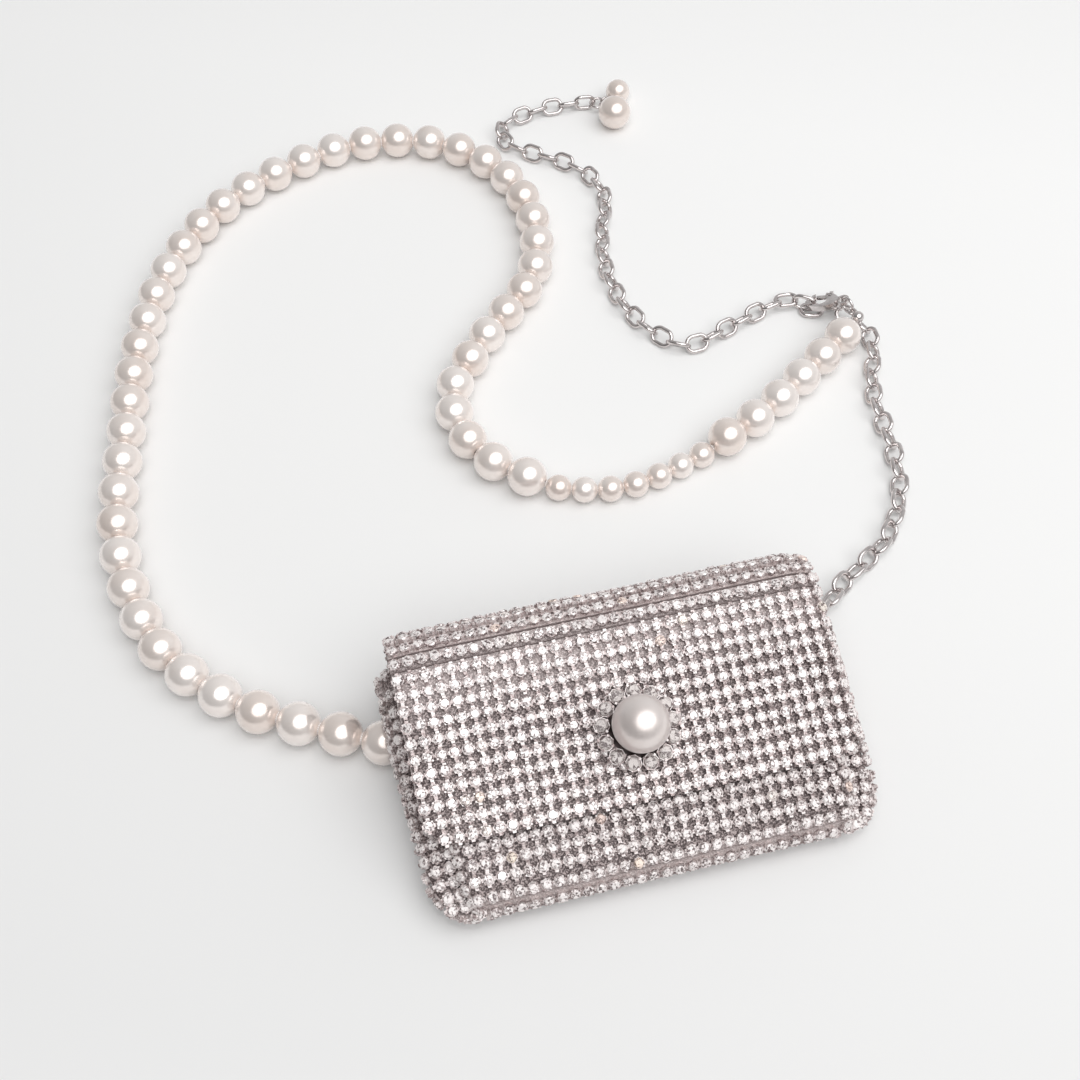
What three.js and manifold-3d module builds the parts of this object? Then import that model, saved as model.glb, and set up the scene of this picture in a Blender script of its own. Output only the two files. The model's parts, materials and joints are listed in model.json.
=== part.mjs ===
// Mini flap bag in crystal mesh, lying on its back, with a strap of pearls and an extender chain.
// Millimetres, +Z up. X runs across the bag and Y from its bottom edge to the fold of its flap.
// The origin is the middle of the back panel, on the surface that the bag lies on.
import * as THREE from "three";
import { mergeVertices } from "three/addons/utils/BufferGeometryUtils.js";
import Module from "manifold-3d";

const wasm = await Module();
wasm.setup();

// Driving dimensions
const WALL = 2.6; // satin backing with its layer of cups and stones
const GAP = 0.3; // clearance between pieces that touch
const SLIVER = 0.1; // edges shorter than this are merged where solids are joined
const FLAP_HALF_WIDTH = 57;
const FLAP_SLOPE = THREE.MathUtils.degToRad(20);
const FLAP_EDGE = { y: -21.2, z: 19.85 }; // lower edge of the flap, outer face
const FLAP_BACK = { y: 37.7, bend: 7, fold: 13 }; // outer face, and its radius at the table and on top
const FLAP_CORNER_RADIUS = 9;
const FLAP_EDGE_DROOP = 1.8;
const FLAP_DROOP_START = 52; // half width where the sides start to bend down
const MOUTH_Y = 24; // rim of the back panel, where the flap starts
const MOUTH_RISE = 5.4; // the front and sides stand higher, up into the fold of the flap
const BODY_CORNER_RADIUS = 3;
const BULGE_LEVEL = 0.55; // height of the widest line of a side, as a share of the thickness

const BUTTON = { y: -4.4, pearlRadius: 7.3, seat: 6.7, plateRadius: 11.8, plateThick: 0.9 };
const BUTTON_STONES = { count: 13, ring: 9.8, table: 1, girdle: 1.7, height: 1.5, sunk: 0.2 };

const SIDE_FITTING = { z: 7, standOff: 0.5 }; // plates on the sides, just clear of the mesh
const ANCHOR = { y: 14.6, radius: 2.4, thick: 1.2 };
const CHAIN_LOOP = { y: 20, radius: 3.2, wire: 0.65, plateRadius: 4.6, plateThick: 0.9 };

const BEAD_SIDES = 10;
const THREAD_RADIUS = 0.7;
const STRING_RUNS = [
  { count: 46, radius: 6 },
  { count: 7, radius: 4 },
  { count: 6, radius: 6 },
];

const LINK = { length: 8.6, width: 6.5, wire: 1.45, pitch: 6.15, sides: 10, wireSides: 5 };
const LINK_TILT = THREE.MathUtils.degToRad(45);
const LINK_UPRIGHT = THREE.MathUtils.degToRad(90);
const CHAIN_REST_Z = 2.7;
const TAIL_TUBE = { radius: 2.6, sides: 8, steps: 44 };

const TIP = { radius: 2, loopRadius: 1.25, loopWire: 0.4, loopSunk: 0.2, z: 8 };
const JUMP_RING = { radius: 2.5, wire: 0.5 };
const CLASP = { thick: 2.2, eyeU: 1.2, barU: 13.2, eyeZ: 8.7, heading: 146, dip: 24.5 };
const HOOK = { u: 8.3, halfLength: 5.7, halfWidth: 3.4, barHalf: 0.75, barStart: 12 };
const HOOK_WINDOW = { u: 9.4, w: 0.2, halfLength: 3, halfWidth: 2, edgeW: -0.6 };
const CLASP_EYE = { radius: 2.2, hole: 1.3 };
const CLASP_NECK = { from: 2.6, to: 4.4, half: 1.1 };
const HOOKED_LINK = { past: 1.35, lift: 0.3 }; // place of the link in the hook, past its bar
const UNDER_LINK = { back: 2.9, z: 1.05 }; // flat link that lies under the clasp
const LEVER = { u: 6, w: -2.3, tipU: 10.6, thick: 1, half: 0.6, root: 1.1, rivet: 0.4, bore: 0.75 };
const LEVER_THUMB = { half: 0.6, reach: 2.4 };

const TAIL_RING = { radius: 2.75, wire: 0.55 };
const TAIL_PIN = { loopRadius: 1.25, wire: 0.4, capRadius: 0.9 };
const TAIL_DROPS = [
  { name: "small", radius: 4.5, heading: 16, stem: 1.85 },
  { name: "large", radius: 6, heading: -73, stem: 3.4 },
];

// Side view of the pocket: a row for each section from the bottom edge to the mouth.
// low and high are the heights of the back and front, the other columns are half widths.
const BODY_SECTIONS = [
  { y: -36.4, low: 4.4, high: 8.8, back: 46, bulge: 51, front: 48 },
  { y: -34.8, low: 1.7, high: 11.5, back: 48.5, bulge: 55, front: 50.5 },
  { y: -31.7, low: 0.3, high: 13, back: 50, bulge: 57.6, front: 52 },
  { y: -27.5, low: 0, high: frontHeight(-27.5), back: 50, bulge: 59.2, front: 52.8 },
  { y: 0, low: 0, high: frontHeight(0), back: 50, bulge: 61, front: 53 },
  { y: 14.9, low: 0, high: frontHeight(14.9), back: 50, bulge: 61.6, front: 53 },
  { y: 22, low: 0, high: 31.7, back: 50, bulge: 61.8, front: 53 },
  { y: MOUTH_Y, low: 0, high: 30.6, back: 50, bulge: 61.9, front: 53, rise: MOUTH_RISE },
];

// Routes on the table, chosen by hand: centres of beads and links, from the bag outwards.
const STRING_ROUTE = [
  [-62, 17.5], [-79.5, 26.5], [-99.5, 39.5], [-115.5, 58], [-123.5, 81], [-125.5, 106],
  [-120.5, 141], [-113.5, 177], [-100.5, 212], [-79.5, 239], [-48.5, 256], [-24.5, 260.5],
  [-1.5, 255], [16.5, 238], [24.5, 212], [18.5, 180], [-4.5, 154], [-19.5, 132],
  [-17, 110], [-0.5, 93], [23.5, 86], [46.5, 91], [72.5, 102], [91.5, 114.5], [109.5, 127.5],
];
const STRAP_CHAIN_ROUTE = [
  [58.1, 20.7, 5.2], [62.3, 25.1, 4.6], [69, 32, 3.3], [75, 37.6], [84.5, 43.4], [93.5, 49.6],
  [101.5, 60], [105.5, 68], [108.5, 80], [110, 93], [111.5, 104], [114.5, 113], [118, 120.5],
  [119.5, 127], [118.8, 133], [115.9, 138.7], [111.5, 143.2, 2.9],
];
const TAIL_CHAIN_ROUTE = [
  [99.1, 150.2], [92.5, 149], [83.5, 146], [72.5, 141.8], [60.5, 138.4], [52.3, 145.3], [45.5, 160],
  [44, 180], [47.9, 199], [53, 214], [50.8, 227.3], [43.5, 237], [32, 245.7],
  [25.2, 254.5], [28, 263], [36.5, 266.8], [47.5, 268.6], [54.5, 268.1], [61.2, 267.2],
];

const COLOURS = {
  crystal: { color: 0xd9d4d4, roughness: 0.25, metalness: 0.4 },
  pearl: { color: 0xf1e9e4, roughness: 0.22, metalness: 0 },
  silver: { color: 0xc9c5c6, roughness: 0.2, metalness: 1 },
};

function flapHeight(y) {
  return FLAP_EDGE.z + (y - FLAP_EDGE.y) * Math.tan(FLAP_SLOPE);
}

function frontHeight(y) {
  return flapHeight(y) - (WALL + GAP) / Math.cos(FLAP_SLOPE);
}

// Solids and meshes
function solidOf(geometry) {
  const bare = new THREE.BufferGeometry();
  bare.setAttribute("position", geometry.getAttribute("position").clone());
  if (geometry.index) bare.setIndex(geometry.index.clone());
  const merged = mergeVertices(bare, 1e-4);
  const vertProperties = new Float32Array(merged.getAttribute("position").array);
  const triVerts = new Uint32Array(merged.index.array);
  return new wasm.Manifold(new wasm.Mesh({ numProp: 3, vertProperties, triVerts }));
}

function geometryOf(solid) {
  const mesh = solid.getMesh();
  const geometry = new THREE.BufferGeometry();
  geometry.setAttribute("position", new THREE.BufferAttribute(new Float32Array(mesh.vertProperties), 3));
  geometry.setIndex(new THREE.BufferAttribute(new Uint32Array(mesh.triVerts), 1));
  geometry.computeVertexNormals();
  return geometry;
}

function joined(geometries) {
  const whole = geometries.map(solidOf).reduce((sum, piece) => sum.add(piece));
  return geometryOf(whole.asOriginal().simplify(SLIVER));
}

function cutBy(geometry, tools) {
  return geometryOf(tools.map(solidOf).reduce((left, tool) => left.subtract(tool), solidOf(geometry)));
}

function named(name, geometry, finish) {
  const mesh = new THREE.Mesh(geometry, new THREE.MeshStandardMaterial(finish));
  mesh.name = name;
  return mesh;
}

// Closed skin through rings of the same number of points, with a flat fan at each end.
function loft(rings) {
  const count = rings[0].length;
  const positions = rings.flat().flatMap((point) => [point.x, point.y, point.z]);
  const index = [];
  for (let row = 0; row + 1 < rings.length; row += 1) {
    for (let side = 0; side < count; side += 1) {
      const next = (side + 1) % count;
      const a = row * count + side;
      const b = row * count + next;
      index.push(a, b + count, b, a, a + count, b + count);
    }
  }
  const last = (rings.length - 1) * count;
  for (let side = 1; side + 1 < count; side += 1) {
    index.push(0, side, side + 1, last, last + side + 1, last + side);
  }
  const geometry = new THREE.BufferGeometry();
  geometry.setAttribute("position", new THREE.Float32BufferAttribute(positions, 3));
  geometry.setIndex(index);
  geometry.computeVertexNormals();
  return geometry;
}

// Pocket: one wall that runs up the outside, over the rim of the mouth and down the inside
function pocketRing(row, inset, y) {
  const rise = row.rise ?? 0;
  const low = row.low + inset;
  const high = row.high - inset;
  const radius = Math.min(BODY_CORNER_RADIUS, 0.4 * (high - low));
  const soft = 0.29 * radius;
  const level = low + BULGE_LEVEL * (high - low);
  const side = [
    [row.back - inset - radius, y, low],
    [row.back - inset - soft, y, low + soft],
    [row.back - inset, y, low + radius],
    [row.bulge - inset, y + rise, level],
    [row.front - inset, y + rise, high - radius],
    [row.front - inset - soft, y + rise, high - soft],
    [row.front - inset - radius, y + rise, high],
  ];
  const right = side.map((point) => new THREE.Vector3(...point));
  const mirror = new THREE.Vector3(-1, 1, 1);
  const left = right.map((point) => point.clone().multiply(mirror)).reverse();
  return [...right, ...left];
}

function bagBody() {
  const outside = BODY_SECTIONS.map((row) => pocketRing(row, 0, row.y));
  const inside = BODY_SECTIONS.slice(1).reverse().map((row, place, rows) => {
    const bottom = place === rows.length - 1;
    return pocketRing(row, WALL, bottom ? row.y + WALL / 2 : row.y);
  });
  return loft([...outside, ...inside]);
}

// Flap: a bent sheet that starts at the back panel, folds over the mouth and lies on the front
function flapLine() {
  const { y, bend, fold } = FLAP_BACK;
  const foldY = y - fold;
  const foldZ = flapHeight(foldY) - fold / Math.cos(FLAP_SLOPE);
  const path = new THREE.Path();
  path.moveTo(MOUTH_Y + GAP, 0);
  path.lineTo(y - bend, 0);
  path.absarc(y - bend, bend, bend, -Math.PI / 2, 0, false);
  path.lineTo(y, foldZ);
  path.absarc(foldY, foldZ, fold, 0, Math.PI / 2 + FLAP_SLOPE, false);
  const points = path.getPoints(4);
  const cornerTop = FLAP_EDGE.y + FLAP_CORNER_RADIUS * Math.cos(FLAP_SLOPE);
  points.push(new THREE.Vector2(cornerTop, flapHeight(cornerTop)));
  return points;
}

function flapStations() {
  const stations = flapLine().map((point) => ({ point, half: FLAP_HALF_WIDTH }));
  const cornerTop = stations.at(-1).point;
  const down = new THREE.Vector2(-Math.cos(FLAP_SLOPE), -Math.sin(FLAP_SLOPE));
  const steps = 4;
  for (let step = 1; step <= steps; step += 1) {
    const turn = (step / steps) * (Math.PI / 2);
    stations.push({
      point: cornerTop.clone().addScaledVector(down, FLAP_CORNER_RADIUS * Math.sin(turn)),
      half: FLAP_HALF_WIDTH - FLAP_CORNER_RADIUS * (1 - Math.cos(turn)),
    });
  }
  return stations;
}

function bagFlap() {
  const stations = flapStations();
  const rings = stations.map(({ point, half }, place) => {
    const before = stations[Math.max(place - 1, 0)].point;
    const after = stations[Math.min(place + 1, stations.length - 1)].point;
    const along = after.clone().sub(before).normalize();
    const outward = new THREE.Vector2(along.y, -along.x);
    const at = (x, depth) =>
      new THREE.Vector3(x, point.x - outward.x * depth, point.y - outward.y * depth);
    const shoulder = Math.min(half - 1, FLAP_DROOP_START);
    const past = Math.max(half - FLAP_DROOP_START, 0) / (FLAP_HALF_WIDTH - FLAP_DROOP_START);
    const droop = FLAP_EDGE_DROOP * past;
    return [
      at(-half, droop), at(-shoulder, 0), at(shoulder, 0), at(half, droop),
      at(half, droop + WALL), at(shoulder, WALL), at(-shoulder, WALL), at(-half, droop + WALL),
    ];
  });
  return loft(rings);
}

// Button: a plate with a ring of cut stones round a pearl
function buttonSetting() {
  const { plateRadius, plateThick } = BUTTON;
  const { count, ring, table, girdle, height, sunk } = BUTTON_STONES;
  const plate = new THREE.CylinderGeometry(plateRadius, plateRadius, plateThick, 20);
  plate.rotateX(Math.PI / 2).translate(0, 0, GAP + plateThick / 2);
  const stones = Array.from({ length: count }, (_, place) => {
    const turn = (place / count) * 2 * Math.PI;
    const stone = new THREE.CylinderGeometry(table, girdle, height, 8);
    stone.rotateX(Math.PI / 2).rotateZ(turn);
    return stone.translate(
      ring * Math.cos(turn),
      ring * Math.sin(turn),
      GAP + plateThick - sunk + height / 2,
    );
  });
  return joined([plate, ...stones]);
}

function buttonPearl() {
  const { pearlRadius, seat, plateThick } = BUTTON;
  const start = -Math.asin(seat / pearlRadius);
  const profile = [new THREE.Vector2(0, -seat)];
  const steps = 6;
  for (let step = 0; step < steps; step += 1) {
    const turn = start + (step / steps) * (Math.PI / 2 - start);
    profile.push(new THREE.Vector2(pearlRadius * Math.cos(turn), pearlRadius * Math.sin(turn)));
  }
  profile.push(new THREE.Vector2(0, pearlRadius));
  const pearl = new THREE.LatheGeometry(profile, 12);
  return pearl.rotateX(Math.PI / 2).translate(0, 0, 2 * GAP + plateThick + seat);
}

function button() {
  const group = new THREE.Group();
  group.position.set(0, BUTTON.y, flapHeight(BUTTON.y));
  group.rotation.x = FLAP_SLOPE;
  group.add(named("button_setting", buttonSetting(), COLOURS.silver));
  group.add(named("button_pearl", buttonPearl(), COLOURS.pearl));
  return group;
}

// Side fittings: plates on the slanted lower half of each side panel
function sideFrame(side, y) {
  const { z } = SIDE_FITTING;
  const row = BODY_SECTIONS.at(-3);
  const foot = new THREE.Vector2(row.back, BODY_CORNER_RADIUS);
  const widest = new THREE.Vector2(row.bulge, row.high * BULGE_LEVEL);
  const lean = widest.clone().sub(foot);
  const x = foot.x + (lean.x * (z - foot.y)) / lean.y;
  const group = new THREE.Group();
  group.position.set(side * x, y, z);
  group.rotation.y = side * (Math.PI / 2 + Math.atan2(lean.x, lean.y));
  return group;
}

function sidePlate(radius, thick, sides) {
  const plate = new THREE.CylinderGeometry(radius, radius, thick, sides);
  return plate.rotateX(Math.PI / 2).translate(0, 0, SIDE_FITTING.standOff + thick / 2);
}

function stringAnchor() {
  const group = sideFrame(-1, ANCHOR.y);
  group.add(named("string_anchor", sidePlate(ANCHOR.radius, ANCHOR.thick, 10), COLOURS.silver));
  return group;
}

function chainLoop() {
  const { y, radius, wire, plateRadius, plateThick } = CHAIN_LOOP;
  const { standOff } = SIDE_FITTING;
  const reach = 2 * plateRadius;
  const ring = new THREE.TorusGeometry(radius, wire, 6, 12);
  ring.rotateY(Math.PI / 2).rotateZ(Math.PI / 2).translate(0, 0, standOff + plateThick);
  const buried = new THREE.BoxGeometry(2 * reach, 2 * reach, reach);
  buried.translate(0, 0, standOff + plateThick / 2 - reach / 2);
  const loop = joined([cutBy(ring, [buried]), sidePlate(plateRadius, plateThick, 12)]);
  const group = sideFrame(1, y);
  group.add(named("chain_loop", loop, COLOURS.silver));
  return group;
}

// Pearl string: a turned profile of beads on a thread, bent along its route
function routeCurve(rows, restZ) {
  const points = rows.map(([x, y, z]) => new THREE.Vector3(x, y, z ?? restZ));
  const curve = new THREE.CatmullRomCurve3(points, false, "centripetal");
  curve.arcLengthDivisions = 1500;
  return curve;
}

function beadRadii() {
  return STRING_RUNS.flatMap(({ count, radius }) => Array(count).fill(radius));
}

function pearlString() {
  const radii = beadRadii();
  const curve = routeCurve(STRING_ROUTE, 0);
  const reach = curve.getLength();
  const beadLength = radii.reduce((sum, radius) => sum + 2 * radius, 0) - radii[0] - radii.at(-1);
  const spare = (reach - beadLength) / (radii.length - 1);
  const shoulder = THREE.MathUtils.degToRad(46);
  const profile = [new THREE.Vector2(0, -radii[0])];
  const beads = [];
  let along = 0;
  radii.forEach((radius, place) => {
    if (place > 0) along += radii[place - 1] + spare + radius;
    const rim = radius * Math.cos(shoulder);
    const reachToRim = radius * Math.sin(shoulder);
    profile.push(new THREE.Vector2(THREAD_RADIUS, along - radius));
    profile.push(new THREE.Vector2(rim, along - reachToRim));
    profile.push(new THREE.Vector2(radius, along));
    profile.push(new THREE.Vector2(rim, along + reachToRim));
    beads.push({ along, radius });
  });
  profile.push(new THREE.Vector2(THREAD_RADIUS, along + radii.at(-1)));
  profile.push(new THREE.Vector2(0, along + radii.at(-1)));
  const string = new THREE.LatheGeometry(profile, BEAD_SIDES);
  const place = string.getAttribute("position");
  const up = new THREE.Vector3(0, 0, 1);
  for (let corner = 0; corner < place.count; corner += 1) {
    const run = place.getY(corner);
    const share = THREE.MathUtils.clamp(run / reach, 0, 1);
    const tangent = curve.getTangentAt(share).setZ(0).normalize();
    const point = curve.getPointAt(share).addScaledVector(tangent, run - share * reach);
    const across = tangent.clone().cross(up);
    point.z = threadHeight(beads, run);
    point.addScaledVector(across, place.getX(corner)).addScaledVector(up, place.getZ(corner));
    place.setXYZ(corner, point.x, point.y, point.z);
  }
  return string;
}

// The thread lies at the height of each bead's centre and slopes in the smaller bead of a pair.
function threadHeight(beads, run) {
  const after = beads.findIndex(({ along }) => along >= run);
  if (after <= 0) return beads.at(after).radius;
  const near = beads[after - 1];
  const next = beads[after];
  const shrinking = near.radius > next.radius;
  const slopeStart = shrinking ? next.along - next.radius : near.along;
  const slopeEnd = shrinking ? next.along : near.along + near.radius;
  const share = THREE.MathUtils.clamp((run - slopeStart) / (slopeEnd - slopeStart), 0, 1);
  return THREE.MathUtils.lerp(near.radius, next.radius, share);
}

// Chain: oval links of round wire, each through the next
function linkGeometry() {
  const bend = (LINK.width - LINK.wire) / 2;
  const straight = (LINK.length - LINK.width) / 2;
  const link = new THREE.TorusGeometry(bend, LINK.wire / 2, LINK.wireSides, LINK.sides);
  const place = link.getAttribute("position");
  for (let corner = 0; corner < place.count; corner += 1) {
    place.setX(corner, place.getX(corner) + Math.sign(place.getX(corner)) * straight);
  }
  return link;
}

function placedLink({ centre, axis, roll }) {
  const flat = new THREE.Vector3(0, 0, 1).cross(axis).normalize();
  const normal = axis.clone().cross(flat);
  const turned = new THREE.Matrix4().makeBasis(axis, flat, normal);
  turned.multiply(new THREE.Matrix4().makeRotationX(roll)).setPosition(centre);
  return linkGeometry().applyMatrix4(turned);
}

// Points a fixed straight distance apart along a curve, from its start as far as they go.
function steppedPoints(curve, step) {
  const fine = curve.getSpacedPoints(12000);
  const points = [fine[0]];
  fine.forEach((point) => {
    if (point.distanceTo(points.at(-1)) >= step) points.push(point);
  });
  return points;
}

function linksAlong(centres, rollOf) {
  return centres.map((centre, place) => {
    const before = centres[Math.max(place - 1, 0)];
    const after = centres[Math.min(place + 1, centres.length - 1)];
    return { centre, axis: after.clone().sub(before).normalize(), roll: rollOf(place) };
  });
}

const leaning = (place) => (place % 2 === 0 ? LINK_TILT : -LINK_TILT);

// Clasp frame: the eye is at the origin of the group, U runs to the hook and W across.
const claspHeading = THREE.MathUtils.degToRad(CLASP.heading);
const claspDip = THREE.MathUtils.degToRad(CLASP.dip);
const headingAxis = new THREE.Vector3(Math.cos(claspHeading), Math.sin(claspHeading), 0);

function stringEnd() {
  const curve = routeCurve(STRING_ROUTE, TIP.z);
  const point = curve.getPoint(1);
  const tangent = curve.getTangent(1);
  const lastRadius = STRING_RUNS.at(-1).radius;
  return point.addScaledVector(tangent, lastRadius + GAP + TIP.radius);
}

const tipCentre = stringEnd();
const ringAxis = new THREE.Vector3(-0.3, 0.954, 0);
const tipLoop = tipCentre.clone().addScaledVector(ringAxis, TIP.radius + TIP.loopRadius - TIP.loopSunk);
const ringCentre = tipLoop.clone().addScaledVector(ringAxis, JUMP_RING.radius).setZ(CLASP.eyeZ);
const eyeCentre = ringCentre.clone().addScaledVector(ringAxis, JUMP_RING.radius);
const barReach = (CLASP.barU - CLASP.eyeU) * Math.cos(claspDip);
const barCentre = eyeCentre.clone().addScaledVector(headingAxis, barReach);
const hookedCentre = barCentre.clone().addScaledVector(headingAxis, HOOKED_LINK.past);
hookedCentre.setZ(LINK.width / 2 + HOOKED_LINK.lift);

function strapChain() {
  const underClasp = hookedCentre.clone().addScaledVector(headingAxis, -UNDER_LINK.back).setZ(UNDER_LINK.z);
  const rows = [...STRAP_CHAIN_ROUTE, underClasp.toArray()];
  const curve = routeCurve(rows, CHAIN_REST_Z);
  const backwards = new THREE.CatmullRomCurve3([...curve.points].reverse(), false, "centripetal");
  backwards.arcLengthDivisions = 1500;
  const steps = Math.round(backwards.getLength() / LINK.pitch);
  let step = LINK.pitch;
  for (let round = 0; round < 8; round += 1) {
    const tried = steppedPoints(backwards, step);
    const left = backwards.getPoint(1).distanceTo(tried.at(-1));
    step *= (tried.length - 1 + left / step) / steps;
  }
  const centres = steppedPoints(backwards, step - 0.005).slice(0, steps + 1);
  const last = centres.length - 1;
  const rollOf = (place) => {
    if (place === 0 || place === last) return 0;
    return place === last - 1 ? LINK_UPRIGHT : leaning(place);
  };
  const hooked = { centre: hookedCentre, axis: headingAxis, roll: LINK_UPRIGHT };
  const links = linksAlong(centres, rollOf);
  links[0].axis.setZ(0).normalize();
  return joined([hooked, ...links].map(placedLink));
}

// Free tail: one tube of the chain's outer size, from the hooked link to the end ring
const tailStart = hookedCentre.clone().addScaledVector(headingAxis, LINK.length / 2 + GAP);
const tailCurve = routeCurve([tailStart.setZ(CHAIN_REST_Z).toArray(), ...TAIL_CHAIN_ROUTE], CHAIN_REST_Z);

function chainTail() {
  const { radius, sides, steps } = TAIL_TUBE;
  const section = new THREE.Shape().absarc(0, 0, radius, 0, 2 * Math.PI, false);
  const options = { steps, extrudePath: tailCurve, bevelEnabled: false, curveSegments: sides / 2 };
  return new THREE.ExtrudeGeometry(section, options);
}

// String end: a ball tip with a loop, and the jump ring that carries the clasp
function stringTip() {
  const ball = new THREE.SphereGeometry(TIP.radius, BEAD_SIDES, 6).translate(...tipCentre.toArray());
  const loop = new THREE.TorusGeometry(TIP.loopRadius, TIP.loopWire, 5, BEAD_SIDES);
  return joined([ball, loop.translate(...tipLoop.toArray())]);
}

function uprightRing({ radius, wire }, centre, axis) {
  const ring = new THREE.TorusGeometry(radius, wire, 5, 12);
  const turn = Math.atan2(axis.y, axis.x);
  return ring.rotateX(Math.PI / 2).rotateZ(turn).translate(...centre.toArray());
}

// Clasp: a hook with an eye, a slotted root for the lever, the lever and its rivet
function plateOf(shape, thick, curveSegments) {
  const plate = new THREE.ExtrudeGeometry(shape, { depth: thick, bevelEnabled: false, curveSegments });
  return plate.translate(0, 0, -thick / 2);
}

function ovalShape(u, w, halfLength, halfWidth) {
  return new THREE.Shape().absellipse(u, w, halfLength, halfWidth, 0, 2 * Math.PI, false, 0);
}

function blockAt(u0, u1, w0, w1, thick) {
  const block = new THREE.BoxGeometry(u1 - u0, w1 - w0, thick);
  return block.translate((u0 + u1) / 2, (w0 + w1) / 2, 0);
}

function post(u, w, radius, height, sides) {
  const pin = new THREE.CylinderGeometry(radius, radius, height, sides);
  return pin.rotateX(Math.PI / 2).translate(u, w, 0);
}

function claspBody() {
  const { thick, eyeU } = CLASP;
  const slot = LEVER.thick + 2 * GAP;
  const clear = LEVER.root + GAP;
  const { edgeW } = HOOK_WINDOW;
  const far = 2 * HOOK.halfWidth;
  const hook = plateOf(ovalShape(HOOK.u, 0, HOOK.halfLength, HOOK.halfWidth), thick, 9);
  const eye = plateOf(ovalShape(eyeU, 0, CLASP_EYE.radius, CLASP_EYE.radius), thick * 0.55, 6);
  const neck = blockAt(CLASP_NECK.from, CLASP_NECK.to, -CLASP_NECK.half, CLASP_NECK.half, thick * 0.9);
  const window = ovalShape(HOOK_WINDOW.u, HOOK_WINDOW.w, HOOK_WINDOW.halfLength, HOOK_WINDOW.halfWidth);
  const thinned = () => blockAt(HOOK.barStart, HOOK.u + far, -far, far, thick);
  return cutBy(joined([hook, eye, neck]), [
    plateOf(window, 2 * thick, 6),
    thinned().translate(0, 0, thick / 2 + HOOK.barHalf),
    thinned().translate(0, 0, -thick / 2 - HOOK.barHalf),
    post(eyeU, 0, CLASP_EYE.hole, 2 * thick, 10),
    post(LEVER.u, LEVER.w, LEVER.bore, 2 * thick, 8),
    post(LEVER.u, LEVER.w, clear, slot, 10),
    blockAt(LEVER.u - clear, LEVER.tipU + GAP, -far, LEVER.w, slot),
    blockAt(LEVER.u + clear, LEVER.tipU + GAP, -far, edgeW, 2 * thick),
    blockAt(LEVER.u, LEVER.u + clear + 1, LEVER.w - clear, edgeW, slot),
  ]);
}

function claspLever() {
  const { u, w, tipU, thick, half, root, bore } = LEVER;
  const arm = blockAt(u, tipU, w - half, w + half, thick);
  const thumb = blockAt(u - LEVER_THUMB.half, u + LEVER_THUMB.half, w - LEVER_THUMB.reach, w - GAP, thick);
  const lever = joined([post(u, w, root, thick, 10), arm, thumb]);
  return cutBy(lever, [post(u, w, bore - 0.05, 2 * thick, 8)]);
}

function clasp() {
  const group = new THREE.Group();
  group.position.copy(eyeCentre);
  group.rotation.set(0, claspDip, claspHeading, "ZYX");
  const pieces = [
    named("clasp_body", claspBody(), COLOURS.silver),
    named("clasp_lever", claspLever(), COLOURS.silver),
    named("clasp_rivet", post(LEVER.u, LEVER.w, LEVER.rivet, CLASP.thick + 0.2, 8), COLOURS.silver),
  ];
  pieces.forEach((piece) => {
    piece.position.x = -CLASP.eyeU;
    group.add(piece);
  });
  return group;
}

// Tail end: a flat ring with two pearls on looped pins
function tailEnd() {
  const group = new THREE.Group();
  const reach = GAP + TAIL_RING.wire + TAIL_RING.radius;
  const ringAt = tailCurve.getPoint(1).addScaledVector(tailCurve.getTangent(1), reach);
  const ring = new THREE.TorusGeometry(TAIL_RING.radius, TAIL_RING.wire, 5, 12);
  group.add(named("tail_ring", ring.translate(...ringAt.toArray()), COLOURS.silver));
  TAIL_DROPS.forEach(({ name, radius, heading, stem }) => {
    const turn = THREE.MathUtils.degToRad(heading);
    const outward = new THREE.Vector3(Math.cos(turn), Math.sin(turn), 0);
    const loopAt = ringAt.clone().addScaledVector(outward, TAIL_RING.radius);
    const rise = radius + 0.05 - loopAt.z;
    const tilt = Math.asin(rise / (stem + radius));
    const drop = new THREE.Group();
    drop.position.copy(loopAt);
    drop.rotation.set(0, -tilt, turn, "ZYX");
    drop.add(named(`tail_pin_${name}`, tailPin(stem), COLOURS.silver));
    const bead = new THREE.SphereGeometry(radius, BEAD_SIDES, 6).rotateZ(Math.PI / 2);
    drop.add(named(`tail_pearl_${name}`, bead.translate(stem + radius, 0, 0), COLOURS.pearl));
    group.add(drop);
  });
  return group;
}

function tailPin(stem) {
  const { loopRadius, wire, capRadius } = TAIL_PIN;
  const loop = new THREE.TorusGeometry(loopRadius, wire, 5, BEAD_SIDES).rotateX(Math.PI / 2);
  const foot = stem - GAP;
  const cap = new THREE.CylinderGeometry(wire, capRadius, foot - loopRadius, 8);
  cap.rotateZ(Math.PI / 2).translate((foot + loopRadius) / 2, 0, 0);
  return joined([loop, cap]);
}

const bag = new THREE.Group();
bag.add(named("bag_body", bagBody(), COLOURS.crystal));
bag.add(named("bag_flap", bagFlap(), COLOURS.crystal));
bag.add(button());
bag.add(stringAnchor());
bag.add(chainLoop());
bag.add(named("pearl_string", pearlString(), COLOURS.pearl));
bag.add(named("string_tip", stringTip(), COLOURS.silver));
bag.add(named("jump_ring", uprightRing(JUMP_RING, ringCentre, ringAxis), COLOURS.silver));
bag.add(clasp());
bag.add(named("chain_strap", strapChain(), COLOURS.silver));
bag.add(named("chain_tail", chainTail(), COLOURS.silver));
bag.add(tailEnd());

export default bag;
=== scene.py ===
"""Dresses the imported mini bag: satin shells, set stones, pearls, chain links and a clasp.

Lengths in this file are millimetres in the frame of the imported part. They turn into metres
where a mesh is made.
"""

import json
import logging
import math
from dataclasses import dataclass, field
from enum import Enum

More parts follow.
